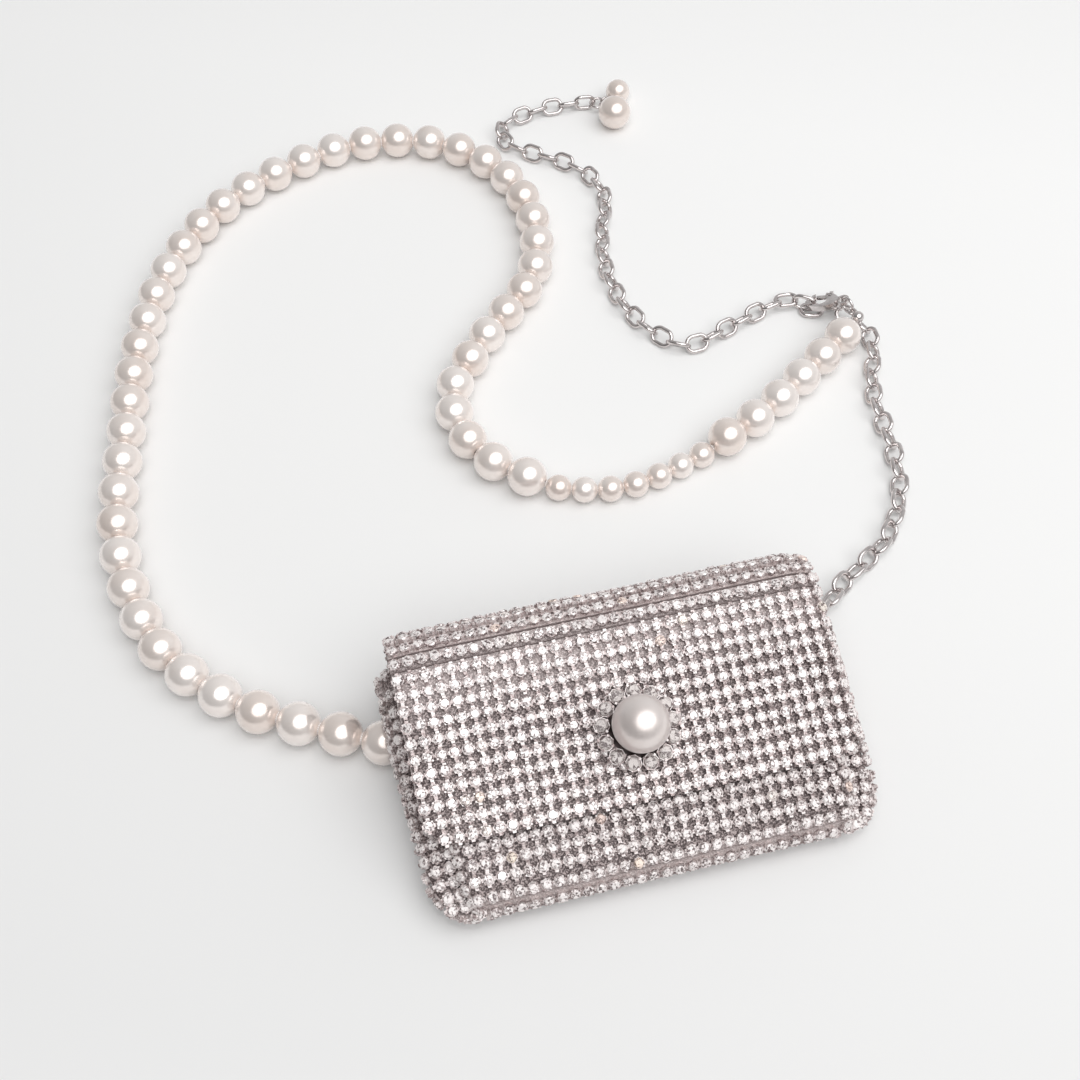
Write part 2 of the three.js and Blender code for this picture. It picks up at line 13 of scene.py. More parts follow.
import bmesh
import bpy
import numpy as np
from bpy.types import ID, Material, Node, NodeSocket, NodeTree, Object
from mathutils import Matrix, Vector
from mathutils.bvhtree import BVHTree

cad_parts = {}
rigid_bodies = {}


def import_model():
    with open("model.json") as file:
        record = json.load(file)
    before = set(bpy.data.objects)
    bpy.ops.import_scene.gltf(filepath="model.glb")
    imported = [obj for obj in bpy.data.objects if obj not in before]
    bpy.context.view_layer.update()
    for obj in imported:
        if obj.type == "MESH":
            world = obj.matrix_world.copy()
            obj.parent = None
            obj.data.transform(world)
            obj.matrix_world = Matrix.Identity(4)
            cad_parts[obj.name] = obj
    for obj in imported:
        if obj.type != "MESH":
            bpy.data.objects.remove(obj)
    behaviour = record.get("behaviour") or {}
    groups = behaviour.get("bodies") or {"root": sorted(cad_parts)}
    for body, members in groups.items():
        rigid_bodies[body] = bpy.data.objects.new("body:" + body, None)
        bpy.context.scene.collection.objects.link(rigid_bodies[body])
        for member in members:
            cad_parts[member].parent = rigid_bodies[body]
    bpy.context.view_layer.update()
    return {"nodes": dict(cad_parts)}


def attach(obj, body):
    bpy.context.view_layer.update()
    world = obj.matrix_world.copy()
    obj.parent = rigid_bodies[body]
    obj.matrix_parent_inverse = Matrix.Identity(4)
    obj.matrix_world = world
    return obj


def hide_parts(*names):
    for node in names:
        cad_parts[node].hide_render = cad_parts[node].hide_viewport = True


MM = 0.001
UP = np.array([0.0, 0.0, 1.0])
LOG = logging.getLogger("mini_bag")

Colour = tuple[float, float, float]
Place = tuple[float, float, float]
Outline = list[tuple[float, float]]


class Body(Enum):
    """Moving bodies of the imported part."""

    BAG = "bag"
    LEVER = "lever"


class Slot(Enum):
    """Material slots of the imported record."""

    MESH = "crystal_mesh"
    PEARL = "pearl"
    METAL = "plated_metal"


class Shade(Enum):
    """How the faces of a piece are shaded."""

    FLAT = "flat"
    SMOOTH = "smooth"


# Lines and angles


def unit(vector: np.ndarray) -> np.ndarray:
    """Returns the vector at length one."""
    return vector / np.linalg.norm(vector, axis=-1, keepdims=True)


def distances(points: np.ndarray) -> np.ndarray:
    """Returns the distance along a line of points up to each of them."""
    return np.concatenate([[0.0], np.cumsum(np.linalg.norm(np.diff(points, axis=0), axis=1))])


def even_turns(count: int, offset: float = 0.0) -> list[float]:
    """Returns angles spaced evenly round a full turn, moved on by a share of a step."""
    return [2 * math.pi * (step + offset) / count for step in range(count)]


def arc(centre: np.ndarray, radius: float, end: tuple[float, float], count: int) -> np.ndarray:
    """Returns points on an arc between two angles in degrees."""
    turns = np.radians(np.linspace(*end, count))
    return centre + radius * np.stack([np.cos(turns), np.sin(turns)], 1)


def ball(radius: float, count: int) -> Outline:
    """Returns the half outline of a ball, from its lowest point to its highest."""
    turns = np.linspace(-math.pi / 2, math.pi / 2, count)[1:-1]
    sides = [(radius * math.cos(turn), radius * math.sin(turn)) for turn in turns]
    return [(0.0, -radius), *sides, (0.0, radius)]


class Route:
    """Smooth curve through points, with places given by the distance along it."""

    def __init__(self, points: list[np.ndarray], per_span: int = 160) -> None:
        """Samples a centripetal curve.

        Args:
            points: Points that the curve passes through.
            per_span: Samples between two points.
        """
        knots = np.array(points, float)
        ends = np.vstack([2 * knots[0] - knots[1], knots, 2 * knots[-1] - knots[-2]])
        share = np.linspace(0, 1, per_span, endpoint=False)[:, None]
        spans = [self._span(ends[place : place + 4], share) for place in range(len(knots) - 1)]
        self.samples = np.vstack([*spans, knots[-1:]])
        self.runs = distances(self.samples)

    @staticmethod
    def _span(four: np.ndarray, share: np.ndarray) -> np.ndarray:
        """Returns the samples between the middle two of four points.

        Args:
            four: Neighbouring points of the curve.
            share: Places between the middle two, from zero to one.

        Returns:
            The samples.
        """
        before, here, there, beyond = four
        gap0, gap1, gap2 = np.linalg.norm(np.diff(four, axis=0), axis=1) ** 0.5
        leave = (here - before) / gap0 - (there - before) / (gap0 + gap1) + (there - here) / gap1
        arrive = (there - here) / gap1 - (beyond - here) / (gap1 + gap2) + (beyond - there) / gap2
        leave = leave * gap1
        arrive = arrive * gap1
        square = -3 * here + 3 * there - 2 * leave - arrive
        cube = 2 * here - 2 * there + leave + arrive
        return here + share * (leave + share * (square + share * cube))

    @property
    def length(self) -> float:
        """Length of the curve."""
        return float(self.runs[-1])

    def at(self, runs: np.ndarray) -> np.ndarray:
        """Returns the points at distances along the curve."""
        axes = [np.interp(runs, self.runs, axis) for axis in self.samples.T]
        return np.stack(axes, axis=-1)

    def heading(self, runs: np.ndarray) -> np.ndarray:
        """Returns the directions of the curve at distances along it."""
        small = 0.05
        return unit(self.at(np.minimum(runs + small, self.length)) - self.at(np.maximum(runs - small, 0)))

    def spot(self, run: float) -> tuple[np.ndarray, np.ndarray]:
        """Returns the point at one distance along the curve, and the direction there."""
        runs = np.array([run])
        return self.at(runs)[0], self.heading(runs)[0]

    def stepped(self, pitch: float) -> np.ndarray:
        """Returns points at equal straight distances, close to a pitch, from end to end.

        Args:
            pitch: Wanted distance between neighbours.

        Returns:
            The points, first and last included.
        """
        samples, rounds, slack = 6000, 12, 0.003
        steps = round(self.length / pitch)
        fine = self.at(np.linspace(0, self.length, samples))
        step = pitch
        for _ in range(rounds):
            points = self._walk(fine, step)
            left = np.linalg.norm(fine[-1] - points[-1])
            step *= (len(points) - 1 + left / step) / steps
        return np.array(self._walk(fine, step - slack)[: steps + 1])

    @staticmethod
    def _walk(fine: np.ndarray, step: float) -> list[np.ndarray]:
        """Returns fine points that are a step apart."""
        points = [fine[0]]
        for point in fine:
            if np.linalg.norm(point - points[-1]) >= step:
                points.append(point)
        return points


# Meshes


@dataclass
class Skin:
    """Points and faces of a mesh before it becomes an object.

    Attributes:
        points: Corner points in millimetres.
        faces: Corner indices of each face.
    """

    points: list[np.ndarray] = field(default_factory=list)
    faces: list[tuple[int, ...]] = field(default_factory=list)

    def add(self, other: "Skin") -> None:
        """Appends another skin."""
        start = len(self.points)
        self.points.extend(other.points)
        self.faces.extend(tuple(start + corner for corner in face) for face in other.faces)

    def moved(self, matrix: Matrix) -> "Skin":
        """Returns a copy with every point taken through a matrix."""
        return Skin([np.array(matrix @ Vector(point)) for point in self.points], list(self.faces))


def loft(rings: list[list[np.ndarray]]) -> Skin:
    """Joins rings of equal count into a skin and closes its ends by strips.

    Args:
        rings: Closed rings of points.

    Returns:
        The skin.
    """
    count = len(rings[0])
    skin = Skin([point for ring in rings for point in ring])
    for row in range(len(rings) - 1):
        for side in range(count):
            after = (side + 1) % count
            low, high = row * count, (row + 1) * count
            skin.faces.append((low + side, low + after, high + after, high + side))
    last = (len(rings) - 1) * count
    for side in range(count // 2 - 1):
        far = count - 1 - side
        skin.faces.append((side, side + 1, far - 1, far))
        skin.faces.append((last + side, last + side + 1, last + far - 1, last + far))
    return skin


def lathe(profile: Outline, sides: int) -> Skin:
    """Turns a profile of radius and height about the Z axis.

    Args:
        profile: Radius and height of each ring. A radius of zero makes a pole.
        sides: Number of sides.

    Returns:
        The turned skin.
    """
    skin = Skin()
    rings: list[list[int]] = []
    turns = even_turns(sides)
    for radius, height in profile:
        ring = []
        for turn in turns if radius else turns[:1]:
            ring.append(len(skin.points))
            skin.points.append(np.array([radius * math.cos(turn), radius * math.sin(turn), height]))
        rings.append(ring)
    for below, above in zip(rings, rings[1:]):
        for step in range(sides):
            after = (step + 1) % sides
            low = (below[0],) if len(below) == 1 else (below[step], below[after])
            high = (above[0],) if len(above) == 1 else (above[after], above[step])
            skin.faces.append(low + high)
    return skin


def torus(radius: float, wire: float, sides: int = 36, wire_sides: int = 12) -> Skin:
    """Returns a ring of round wire in the XY plane."""
    turns = [*even_turns(wire_sides), 2 * math.pi]
    return lathe([(radius + wire * math.cos(turn), wire * math.sin(turn)) for turn in turns], sides)


def block(low: Place, high: Place) -> Skin:
    """Returns a box between two corners."""
    xs, ys, zs = zip(low, high)
    skin = Skin([np.array([x, y, z]) for z in zs for y in ys for x in xs])
    skin.faces = [(0, 2, 3, 1), (4, 5, 7, 6), (0, 1, 5, 4), (2, 6, 7, 3), (0, 4, 6, 2), (1, 3, 7, 5)]
    return skin


def tube(path: np.ndarray, radius: float, sides: int = 10) -> Skin:
    """Sweeps a round section along a path that lies about level.

    Args:
        path: Points along the middle.
        radius: Radius of the section.
        sides: Number of sides.

    Returns:
        The closed tube.
    """
    along = unit(np.gradient(path, axis=0))
    across = unit(np.cross(UP, along))
    above = np.cross(along, across)
    turns = even_turns(sides)
    rings = []
    for point, side, top in zip(path, across, above):
        rings.append([point + radius * (math.cos(turn) * side + math.sin(turn) * top) for turn in turns])
    return loft(rings)


def linked(name: str, data: ID) -> Object:
    """Returns a new object in the scene at the origin."""
    made = bpy.data.objects.new(name, data)
    bpy.context.scene.collection.objects.link(made)
    return made


def to_object(name: str, skin: Skin, shade: Shade = Shade.SMOOTH, weld: float = 0.001) -> Object:
    """Makes an object with outward faces from a skin.

    Args:
        name: Name of the object.
        skin: Points in millimetres, and faces.
        shade: Flat or smooth faces.
        weld: Distance in millimetres under which points are merged.

    Returns:
        The new object at the origin.
    """
    mesh = bpy.data.meshes.new(name)
    mesh.from_pydata([tuple(point * MM) for point in skin.points], [], skin.faces)
    shell = bmesh.new()
    shell.from_mesh(mesh)
    bmesh.ops.remove_doubles(shell, verts=shell.verts, dist=weld * MM)
    bmesh.ops.recalc_face_normals(shell, faces=shell.faces)
    shell.to_mesh(mesh)
    shell.free()
    smooth = np.full(len(mesh.polygons), shade is Shade.SMOOTH)
    mesh.polygons.foreach_set("use_smooth", smooth)
    return linked(name, mesh)


def bevelled_copy(name: str, node: Object, width: float) -> Object:
    """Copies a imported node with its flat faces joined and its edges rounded.

    Args:
        name: Name of the copy.
        node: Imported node, which stays as it is.
        width: Width of the rounding in millimetres.

    Returns:
        The new object.
    """
    flat, rounded, crease = np.radians([3, 33, 42]).tolist()
    weld = 0.002
    mesh = node.data.copy()
    mesh.name = name
    shell = bmesh.new()
    shell.from_mesh(mesh)
    bmesh.ops.remove_doubles(shell, verts=shell.verts, dist=weld * MM)
    bmesh.ops.dissolve_limit(shell, angle_limit=flat, verts=shell.verts, edges=shell.edges)
    bmesh.ops.bevel(
        shell,
        geom=[edge for edge in shell.edges if edge.is_manifold and edge.calc_face_angle(0) > rounded],
        offset=width * MM,
        offset_type="OFFSET",
        segments=2,
        profile=0.6,
        affect="EDGES",
        clamp_overlap=True,
    )
    bmesh.ops.triangulate(shell, faces=shell.faces)
    shell.to_mesh(mesh)
    shell.free()
    mesh.polygons.foreach_set("use_smooth", np.full(len(mesh.polygons), True))
    mesh.set_sharp_from_angle(angle=crease)
    mesh.materials.clear()
    return linked(name, mesh)


def mark_painted_sheen(
    piece: Object,
    facing: dict[float, float],
    place: dict[float, float] | None = None,
) -> None:
    """Stores where the satin of a piece is painted paler, a painted sheen on cloth that bends or faces away.

    Args:
        piece: Satin piece.
        facing: Painted sheen by the share of a point's direction along Y.
        place: Painted sheen by a point's place along Y, in millimetres.
    """
    numbers = np.empty(3 * len(piece.data.vertices), np.float32)
    piece.data.vertices.foreach_get("normal", numbers)
    stretch = np.interp(numbers[1::3], list(facing), list(facing.values()))
    if place:
        piece.data.vertices.foreach_get("co", numbers)
        stretch = np.maximum(stretch, np.interp(numbers[1::3] / MM, list(place), list(place.values())))
    layer = piece.data.attributes.new("stretch", "FLOAT", "POINT")
    layer.data.foreach_set("value", stretch.astype(np.float32))


@dataclass(frozen=True)
class Coat:
    """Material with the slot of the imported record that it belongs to."""

    material: Material
    slot: Slot


def dress(piece: Object, coat: Coat, *stands_for: str, body: Body = Body.BAG) -> None:
    """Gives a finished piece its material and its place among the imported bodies.

    Args:
        piece: Object at the origin.
        coat: Material of the whole piece and its slot.
        *stands_for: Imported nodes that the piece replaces.
        body: Body that the piece moves with.
    """
    piece.data.materials.clear()
    piece.data.materials.append(coat.material)
    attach(piece, body.value)
    if stands_for:
        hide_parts(*stands_for)
    LOG.info("%s: %d faces on %s", piece.name, len(piece.data.polygons), body.value)


@dataclass
class Cloud:
    """Places of repeated units: where they sit, which way they face and how large they are."""

    spots: list[np.ndarray] = field(default_factory=list)
    facing: list[np.ndarray] = field(default_factory=list)
    along: list[np.ndarray] = field(default_factory=list)
    sizes: list[float] = field(default_factory=list)

    def add(self, spot: np.ndarray, facing: np.ndarray, along: np.ndarray, size: float = 1.0) -> None:
        """Adds a place with the directions of a unit's Z and X axes."""
        self.spots.append(spot)
        self.facing.append(facing)
        self.along.append(along)
        self.sizes.append(size)

    def parted(self, low: float, high: float) -> tuple["Cloud", "Cloud"]:
        """Parts the places by their facing along Y.

        Args:
            low: Lower limit of the facing of the second part.
            high: Upper limit of it.

        Returns:
            The places outside the limits and those within them.
        """
        outside, within = Cloud(), Cloud()
        for spot, facing, along, size in zip(self.spots, self.facing, self.along, self.sizes):
            part = within if low < facing[1] < high else outside
            part.add(spot, facing, along, size)
        return outside, within

    def to_object(self, name: str) -> Object:
        """Makes an object whose loose points carry the attributes of the places.

        Args:
            name: Name of the object.

        Returns:
            The new object at the origin.
        """
        mesh = bpy.data.meshes.new(name)
        mesh.from_pydata([tuple(spot * MM) for spot in self.spots], [], [])
        for label, rows in (("facing", self.facing), ("along", self.along)):
            layer = mesh.attributes.new(label, "FLOAT_VECTOR", "POINT")
            layer.data.foreach_set("vector", np.array(rows, np.float32).ravel())
        layer = mesh.attributes.new("size", "FLOAT", "POINT")
        layer.data.foreach_set("value", np.array(self.sizes, np.float32))
        return linked(name, mesh)


# Node trees


class NodeBuilder:
    """Adds nodes to a tree, each with its settings and inputs in one call."""

    def __init__(self, tree: NodeTree) -> None:
        """Keeps the tree that the nodes go into."""
        self.tree = tree

    def feed(self, node: Node, inputs: dict[str | int, object]) -> None:
        """Gives a node its inputs.

        Args:
            node: Node of the tree.
            inputs: Socket to join, or plain value, for each input by name or place.
        """
        for name, value in inputs.items():
            if isinstance(value, NodeSocket):
                self.tree.links.new(value, node.inputs[name])
            else:
                node.inputs[name].default_value = value

    def node(self, kind: str, inputs: dict[str | int, object] | None = None, **settings: object) -> Node:
        """Adds a node.

        Args:
            kind: Type of the node.
            inputs: Socket to join, or plain value, for each input by name or place.
            **settings: Properties of the node.

        Returns:
            The node.
        """
        made = self.tree.nodes.new(kind)
        for name, value in settings.items():
            setattr(made, name, value)
        self.feed(made, inputs or {})
        return made


class Tree(NodeBuilder):
    """Geometry node tree with named inputs."""

    def __init__(self, name: str, kinds: dict[str, str]) -> None:
        """Starts a tree with a geometry input and output.

        Args:
            name: Name of the tree.
            kinds: Socket type of each named input.
        """
        super().__init__(bpy.data.node_groups.new(name, "GeometryNodeTree"))
        sockets = self.tree.interface
        for way in ("INPUT", "OUTPUT"):
            sockets.new_socket("Geometry", in_out=way, socket_type="NodeSocketGeometry")
        self.keys = {}
        for label, kind in kinds.items():
            self.keys[label] = sockets.new_socket(label, in_out="INPUT", socket_type=kind).identifier
        self.entry = self.node("NodeGroupInput")
        self.exit = self.node("NodeGroupOutput")

    def applied(self, piece: Object, values: dict[str, object]) -> Object:
        """Runs the tree on a piece and leaves a plain mesh.

        Args:
            piece: Object that the tree works on.
            values: Value of each named input.

        Returns:
            The piece with its new mesh.
        """
        modifier = piece.modifiers.new(self.tree.name, "NODES")
        modifier.node_group = self.tree
        for label, value in values.items():
            modifier[self.keys[label]] = value
        bpy.context.view_layer.update()
        graph = bpy.context.evaluated_depsgraph_get()
        result = bpy.data.meshes.new_from_object(
            piece.evaluated_get(graph), preserve_all_data_layers=True, depsgraph=graph
        )
        draft = piece.data
        piece.modifiers.clear()
        piece.data = result
        result.name = piece.name
        bpy.data.meshes.remove(draft)
        return piece


class Seating(Tree):
    """Tree that seats one unit on every point of a cloud, facing the way the point says.

    The points carry facing, along and size. Each seated unit gets a random glint.
    """

    def __init__(self) -> None:
        """Builds the tree."""
        kinds = {
            "Unit": "NodeSocketObject",
            "Largest Tilt": "NodeSocketFloat",
            "Largest Shift": "NodeSocketFloat",
            "Seed": "NodeSocketInt",
            "Finish": "NodeSocketMaterial",
        }
        super().__init__("seat_units_on_points", kinds)
        given = self.entry.outputs
        source = self.node("GeometryNodeObjectInfo", {"Object": given["Unit"], "As Instance": True})
        shift = self._random_vector(given["Seed"], given["Largest Shift"])
        moved = self.node("GeometryNodeSetPosition", {"Geometry": given["Geometry"], "Offset": shift})
        aimed = self.node(
            "FunctionNodeAxesToRotation",
            {0: self._attribute("facing", "FLOAT_VECTOR"), 1: self._attribute("along", "FLOAT_VECTOR")},
            primary_axis="Z",
            secondary_axis="X",
        )
        next_seed = self.node("ShaderNodeMath", {0: given["Seed"], 1: 1}, operation="ADD")
        tilt = self._random_vector(next_seed.outputs[0], given["Largest Tilt"])
        turn = self.node("FunctionNodeEulerToRotation", {0: tilt})
        leaning = self.node(
            "FunctionNodeRotateRotation", {0: aimed.outputs[0], 1: turn.outputs[0]}, rotation_space="LOCAL"
        )
        seated = self.node(
            "GeometryNodeInstanceOnPoints",
            {
                "Points": moved.outputs["Geometry"],
                "Instance": source.outputs["Geometry"],
                "Rotation": leaning.outputs[0],
                "Scale": self._attribute("size", "FLOAT"),
            },
        )
        glint = self.node("FunctionNodeRandomValue", {"Seed": given["Seed"]}, data_type="FLOAT")
        stored = self.node(
            "GeometryNodeStoreNamedAttribute",
            {"Geometry": seated.outputs["Instances"], "Name": "glint", "Value": self._shown(glint)},
            data_type="FLOAT",
            domain="INSTANCE",
        )
        real = self.node("GeometryNodeRealizeInstances", {"Geometry": stored.outputs["Geometry"]})
        coated = self.node(
            "GeometryNodeSetMaterial", {"Geometry": real.outputs["Geometry"], "Material": given["Finish"]}
        )
        self.feed(self.exit, {"Geometry": coated.outputs["Geometry"]})

    @staticmethod
    def _shown(node: Node) -> NodeSocket:
        """Returns the output that a node shows for its data type."""
        return next(socket for socket in node.outputs if socket.enabled)

    def _random_vector(self, seed: NodeSocket, largest: NodeSocket) -> NodeSocket:
        """Returns a random vector with every axis up to a largest value either way."""
        limits = {"Min": (-1, -1, -1), "Max": (1, 1, 1), "Seed": seed}
        drawn = self.node("FunctionNodeRandomValue", limits, data_type="FLOAT_VECTOR")
        inputs = {"Vector": drawn.outputs["Value"], "Scale": largest}
        return self.node("ShaderNodeVectorMath", inputs, operation="SCALE").outputs["Vector"]

    def _attribute(self, name: str, kind: str) -> NodeSocket:
        """Adds a reader of a point attribute and returns its output."""
        return self._shown(self.node("GeometryNodeInputNamedAttribute", {"Name": name}, data_type=kind))

    def seat(
        self,
        name: str,
        cloud: Cloud,
        repeated: Object,
        coat: Coat,
        *stands_for: str,
        seed: int,
        tilt: float = 0.0,
        shift: float = 0.0,
    ) -> None:
        """Seats a unit on a cloud and dresses the result as one piece.

        Args:
            name: Name of the piece.
            cloud: Places of the units.
            repeated: Object that is repeated.
            coat: Material of the units and its slot.
            *stands_for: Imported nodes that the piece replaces.
            seed: Seed of the random tilt, shift and glint.
            tilt: Largest tilt in degrees.
            shift: Largest shift in millimetres.
        """
        values = {
            "Unit": repeated,
            "Largest Tilt": math.radians(tilt),
            "Largest Shift": shift * MM,
            "Seed": seed,
            "Finish": coat.material,
        }
        dress(self.applied(cloud.to_object(name), values), coat, *stands_for)


# Finishes


class Shader(NodeBuilder):
    """Procedural material around one principled shader."""

    def __init__(self, name: str) -> None:
        """Starts a material with its shader and output."""
        self.material = bpy.data.materials.new(name)
        self.material.use_nodes = True
        super().__init__(self.material.node_tree)
        self.tree.nodes.clear()
        self.body = self.node("ShaderNodeBsdfPrincipled")
        self.node("ShaderNodeOutputMaterial", {"Surface": self.body.outputs["BSDF"]})

    def surface(self, **inputs: object) -> Material:
        """Feeds inputs of the shader, named in small letters, and returns the material."""
        for name, value in inputs.items():
            self.feed(self.body, {name.replace("_", " ").title().replace("Ior", "IOR"): value})
        return self.material

    def place(self) -> NodeSocket:
        """Returns object coordinates."""
        return self.node("ShaderNodeTexCoord").outputs["Object"]

    def noise(self, scale: float, detail: float = 3.0) -> NodeSocket:
        """Returns a noise value on object coordinates."""
        inputs = {"Vector": self.place(), "Scale": scale, "Detail": detail}
        return self.node("ShaderNodeTexNoise", inputs).outputs["Fac"]

    def bands(self, scale: float, axis: str) -> NodeSocket:
        """Returns a band value across one axis of the object."""
        inputs = {"Vector": self.place(), "Scale": scale, "Distortion": 0.4}
        return self.node("ShaderNodeTexWave", inputs, bands_direction=axis).outputs["Fac"]

    def ramp(self, value: NodeSocket, stops: dict[float, Colour]) -> NodeSocket:
        """Adds a colour ramp.

        Args:
            value: Driving socket.
            stops: Linear colour by position, the first two in rising order.

        Returns:
            The colour output.
        """
        made = self.node("ShaderNodeValToRGB", {"Fac": value})
        elements = made.color_ramp.elements
        for place, (position, colour) in enumerate(stops.items()):
            element = elements[place] if place < 2 else elements.new(position)
            element.position = position
            element.color = (*colour, 1.0)
        return made.outputs["Color"]

    def spread(self, value: NodeSocket, low: float, high: float) -> NodeSocket:
        """Maps a value from zero and one to a range."""
        inputs = {"Value": value, "To Min": low, "To Max": high}
        return self.node("ShaderNodeMapRange", inputs).outputs["Result"]

    def combined(self, operation: str, first: NodeSocket, second: NodeSocket) -> NodeSocket:
        """Joins two values by a sum or a product."""
        return self.node("ShaderNodeMath", {0: first, 1: second}, operation=operation).outputs[0]

    def mixed(
        self, share: NodeSocket | float, first: NodeSocket, second: NodeSocket, blend: str = "MIX"
    ) -> NodeSocket:
        """Returns two colours mixed by a share, or blended in another way."""
        inputs = {"Factor": share, 6: first, 7: second}
        return self.node("ShaderNodeMix", inputs, data_type="RGBA", blend_type=blend).outputs[2]

    def attribute(self, name: str) -> NodeSocket:
        """Returns a mesh attribute as a value."""
        return self.node("ShaderNodeAttribute", attribute_name=name).outputs["Fac"]

    def facets(self, sparkle_scale: float, sparkle_reach: float) -> tuple[NodeSocket, NodeSocket]:
        """Gives every facet of every unit its own value.

        Args:
            sparkle_scale: Scale of the fine painted sparkles.
            sparkle_reach: Most that a painted sparkle changes the value by.

        Returns:
            An even random value for each facet, and that value broken up by fine painted sparkles.
        """
        joined = self.node("ShaderNodeCombineXYZ", {0: self.attribute("facet"), 1: self.attribute("glint")})
        inputs = {"Vector": joined.outputs["Vector"]}
        facet = self.node("ShaderNodeTexWhiteNoise", inputs, noise_dimensions="3D").outputs["Value"]
        return facet, self.combined("ADD", facet, self.spread(self.noise(sparkle_scale, 1), -sparkle_reach, sparkle_reach))

    def bump(self, height: NodeSocket, strength: float, depth: float) -> NodeSocket:
        """Returns a normal bumped by a height, with its depth in millimetres."""
        inputs = {"Strength": strength, "Distance": depth * MM, "Height": height}
        return self.node("ShaderNodeBump", inputs).outputs["Normal"]


@dataclass(frozen=True)
class Finish:
    """Recipe of a material.

    Attributes:
        name: Name of the material.
        slot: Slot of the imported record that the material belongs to.
    """

    name: str
    slot: Slot

    def material(self) -> Material:
        """Builds the material."""
        raise NotImplementedError

    def build(self) -> Coat:
        """Builds the material and returns it with its slot."""
        return Coat(self.material(), self.slot)


@dataclass(frozen=True)
class SatinFinish(Finish):
    """Mauve satin backing with a fine weave. Its grain mixes a dark colour, painted shade for the gaps
    between the stones, with a lighter one, and it is painted paler where the cloth bends or faces away, a
    painted sheen.
    """

    name: str = "mauve_satin"
    slot: Slot = Slot.MESH
    shadow: Colour = (0.085, 0.060, 0.060)
    light: Colour = (0.50, 0.42, 0.41)
    # Paler colours of the painted sheen, for cloth that bends or faces away.
    pale_shadow: Colour = (0.60, 0.52, 0.508)
    pale_light: Colour = (0.90, 0.82, 0.805)
    sheen: Colour = (0.82, 0.72, 0.71)
    lustre: float = 0.15
    thread: float = 0.32
    grain: float = 2300
    wear: float = 900

    def material(self) -> Material:
        """Builds the material."""
        shader = Shader(self.name)
        grain = shader.noise(self.grain, 1)
        flat = shader.ramp(grain, {0.46: self.shadow, 0.62: self.light})
        # Paler colours for the painted sheen where the cloth bends or faces away.
        bent = shader.ramp(grain, {0.46: self.pale_shadow, 0.62: self.pale_light})
        wave_period = 0.314
        scale = wave_period / (self.thread * MM)
        weave = shader.combined("MULTIPLY", shader.bands(scale, "X"), shader.bands(scale, "Y"))
        return shader.surface(
            # The painted sheen attribute mixes in the paler colours: a painted highlight, not a colour of the
            # cloth.
            base_color=shader.mixed(shader.attribute("stretch"), flat, bent),
            roughness=shader.spread(shader.noise(self.wear), 0.34, 0.55),
            normal=shader.bump(weave, 0.4, 0.05),
            metallic=self.lustre,
            sheen_weight=0.5,
            sheen_roughness=0.35,
            sheen_tint=(*self.sheen, 1.0),
            anisotropic=0.35,
        )


@dataclass(frozen=True)
class CrystalFinish(Finish):
    """Foiled cut glass: every facet is painted its own brightness, a painted reflection of the light inside
    the stone, and a few stones get painted coloured glints.
    """

    name: str = "foiled_crystal"
    slot: Slot = Slot.MESH
    deep: Colour = (0.120, 0.086, 0.086)
    dim: Colour = (0.430, 0.340, 0.334)
    fair: Colour = (0.940, 0.828, 0.814)
    bright: Colour = (1.0, 0.950, 0.936)
    plain: Colour = (1.0, 1.0, 1.0)
    amber: Colour = (1.0, 0.93, 0.80)
    rose: Colour = (1.0, 0.86, 0.79)
    foil: float = 0.2
    coat: float = 0.8
    sparkle_scale: float = 2100
    sparkle_reach: float = 0.75

    def material(self) -> Material:
        """Builds the material."""
        shader = Shader(self.name)
        facet, broken = shader.facets(self.sparkle_scale, self.sparkle_reach)
        # Facet tones from deep to bright are painted reflections, not the colour of the glass.
        tones = {0.13: self.deep, 0.25: self.dim, 0.35: self.fair, 0.47: self.bright}
        # Amber and rose on a few stones are painted coloured glints of fire.
        fire_glints = {0.0: self.plain, 0.975: self.plain, 0.984: self.amber, 0.994: self.rose}
        fire_glint = shader.ramp(shader.attribute("glint"), fire_glints)
        return shader.surface(
            base_color=shader.mixed(1.0, shader.ramp(broken, tones), fire_glint, "MULTIPLY"),
            roughness=shader.spread(facet, 0.14, 0.05),
            metallic=self.foil,
            coat_weight=self.coat,
            coat_roughness=0.03,
            coat_ior=1.9,
        )


@dataclass(frozen=True)
class CupFinish(Finish):
    """Stamped cups and prongs: every small face of the metal is painted its own brightness, a painted
    reflection of the light it catches.
    """

    name: str = "cup_metal"
    slot: Slot = Slot.METAL
    dark: Colour = (0.23, 0.177, 0.174)
    middle: Colour = (0.71, 0.588, 0.577)
    bright: Colour = (1.0, 0.942, 0.930)
    metallic: float = 0.25
    sparkle_scale: float = 2100
    sparkle_reach: float = 0.6

    def material(self) -> Material:
        """Builds the material."""
        shader = Shader(self.name)
        facet, broken = shader.facets(self.sparkle_scale, self.sparkle_reach)
        return shader.surface(
            # Per-facet tones are painted reflections, not the colour of the metal.
            base_color=shader.ramp(broken, {0.08: self.dark, 0.4: self.middle, 0.75: self.bright}),
            roughness=shader.spread(facet, 0.6, 0.42),
            metallic=self.metallic,
            specular_ior_level=0.25,
        )


